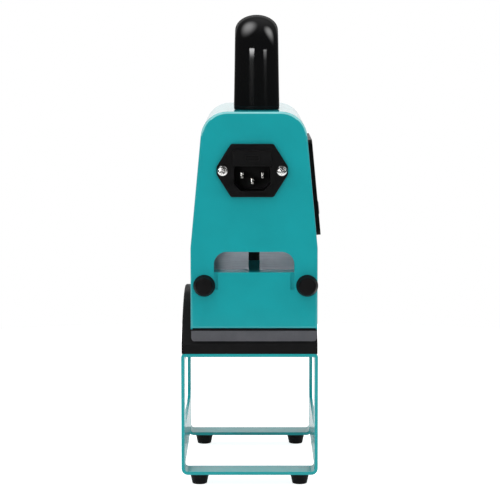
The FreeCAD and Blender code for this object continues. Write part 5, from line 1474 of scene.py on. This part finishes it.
# Lamps overhead: their place, width, length and share of the power.
LAMPS = {
    "left_top_lamp": ((-0.45, -0.35, 1.5), 0.8, 0.9, 1.0),
    "right_top_lamp": ((0.6, -0.35, 1.5), 0.6, 0.9, 0.45),
}
LAMP_AIM = Vector((0, 0, 0.3))
FLOOR_PAINT = (0.8, 0.8, 0.8, 1)
FLOOR_SIDES = 96
SENSOR_WIDTH = 36


class CAPPRESS_OT_stage(bpy.types.Operator):
    """Lay the floor, hang the lamps and set the camera"""

    bl_idname = "cap_press.stage"
    bl_label = "Stage"

    def execute(self, context):
        settings = context.scene.cap_press.stage
        self.lay_floor(settings)
        self.light_world(context.scene, settings)
        for name, (place, wide, tall, share) in LAMPS.items():
            self.hang_lamp(name, place, wide, tall, share * settings.top_power)
        camera = bpy.data.cameras.new("camera")
        camera.lens = settings.lens
        camera.sensor_width = SENSOR_WIDTH
        holder = bpy.data.objects.new("camera", camera)
        holder.location = settings.camera_place
        holder.rotation_euler = settings.camera_turn
        context.scene.collection.objects.link(holder)
        context.scene.camera = holder
        context.scene.view_settings.view_transform = "Standard"
        return {"FINISHED"}

    def lay_floor(self, settings):
        """Lays a round white floor, lifted towards white where it is seen."""
        bm = bmesh.new()
        bmesh.ops.create_circle(bm, cap_ends=True, segments=FLOOR_SIDES, radius=settings.floor_radius)
        mesh = bpy.data.meshes.new("floor")
        bm.to_mesh(mesh)
        bm.free()
        material = bpy.data.materials.new("white_floor")
        material.use_nodes = True
        tree = material.node_tree
        tree.nodes.remove(tree.nodes["Principled BSDF"])
        path = add_node(tree, "LightPath").outputs
        seen = compute(tree, "MAXIMUM", path["Is Camera Ray"], path["Is Transmission Ray"])
        gloss = compute(tree, "MULTIPLY", path["Is Glossy Ray"], settings.floor_gloss)
        lift = compute(tree, "MULTIPLY_ADD", seen, settings.floor_glow, gloss)
        paint = add_node(tree, "BsdfDiffuse", {"Color": FLOOR_PAINT})
        glow = add_node(tree, "Emission", {"Strength": lift})
        both = add_node(tree, "AddShader", {0: paint.outputs[0], 1: glow.outputs[0]})
        tree.links.new(both.outputs[0], tree.nodes["Material Output"].inputs["Surface"])
        mesh.materials.append(material)
        floor = bpy.data.objects.new("floor", mesh)
        bpy.context.scene.collection.objects.link(floor)

    def light_world(self, scene, settings):
        """Fills the room with white light; gloss shows a dark room with a white wall and softboxes."""
        world = bpy.data.worlds.new("white_room")
        scene.world = world
        world.use_nodes = True
        tree = world.node_tree
        path = add_node(tree, "LightPath").outputs
        way = add_node(tree, "SeparateXYZ", {0: add_node(tree, "TexCoord").outputs["Generated"]}).outputs
        mirrored = ramp(tree, way["Y"], *WHITE_WALL, first=settings.dark_side)
        for across, along, facing, side, middle, reach, square, edge, bright in MIRRORED_LIGHTS:
            patch = add_group(tree, "soft patch", make_soft_patch)
            tree.links.new(way[across], patch.inputs["U"])
            tree.links.new(way[along], patch.inputs["V"])
            for name, number in zip(PATCH_FORM, (*middle, *reach, square, edge)):
                patch.inputs[name].default_value = number
            ahead = compute(tree, "GREATER_THAN", compute(tree, "MULTIPLY", way[facing], side), 0.0)
            shown = compute(tree, "MULTIPLY", ahead, patch.outputs["Mask"])
            mirrored = compute(tree, "MULTIPLY_ADD", shown, bright * settings.shine, mirrored)
        lit = mix_values(tree, path["Is Glossy Ray"], settings.dome, mirrored)
        seen = compute(tree, "MAXIMUM", path["Is Camera Ray"], path["Is Transmission Ray"])
        background = tree.nodes["Background"].inputs
        tree.links.new(mix_values(tree, seen, lit, 1.0), background["Strength"])
        background["Color"].default_value = (1, 1, 1, 1)

    def hang_lamp(self, name, place, wide, tall, power):
        """Hangs a lamp that gloss and the camera don't see."""
        lamp = bpy.data.lights.new(name, "AREA")
        lamp.shape = "RECTANGLE"
        lamp.size, lamp.size_y = wide, tall
        lamp.energy = power
        holder = bpy.data.objects.new(name, lamp)
        holder.location = place
        holder.rotation_euler = (LAMP_AIM - Vector(place)).to_track_quat("-Z", "Y").to_euler()
        holder.visible_camera = False
        holder.visible_glossy = False
        bpy.context.scene.collection.objects.link(holder)


OPERATORS = (
    CAPPRESS_OT_stand_frame,
    CAPPRESS_OT_stand_feet,
    CAPPRESS_OT_silicone_pad,
    CAPPRESS_OT_heating_platen,
    CAPPRESS_OT_casing_wrapper,
    CAPPRESS_OT_end_panels,
    CAPPRESS_OT_end_bumpers,
    CAPPRESS_OT_handle,
    CAPPRESS_OT_inlet,
    CAPPRESS_OT_fuse_drawer,
    CAPPRESS_OT_keys,
    CAPPRESS_OT_finishes,
    CAPPRESS_OT_stage,
)


class CAPPRESS_PT_panel(bpy.types.Panel):
    """Lists the steps that dress the cap press"""

    bl_idname = "CAPPRESS_PT_panel"
    bl_label = "Cap press"
    bl_space_type = "VIEW_3D"
    bl_region_type = "UI"
    bl_category = "Cap press"

    def draw(self, context):
        for operator in OPERATORS:
            self.layout.operator(operator.bl_idname)


CLASSES = (
    StandSizes, PadSizes, CasingSizes, HandleSizes, InletSizes, DrawerSizes, ControlSizes, FinishColours,
    StageSettings, CapPress, *OPERATORS, CAPPRESS_PT_panel,
)


def register():
    for part in CLASSES:
        bpy.utils.register_class(part)
    bpy.types.Scene.cap_press = PointerProperty(type=CapPress)


def unregister():
    del bpy.types.Scene.cap_press
    for part in reversed(CLASSES):
        bpy.utils.unregister_class(part)


def main():
    register()
    for operator in OPERATORS:
        getattr(bpy.ops.cap_press, operator.bl_idname.split(".")[1])()


if __name__ == "__main__":
    main()
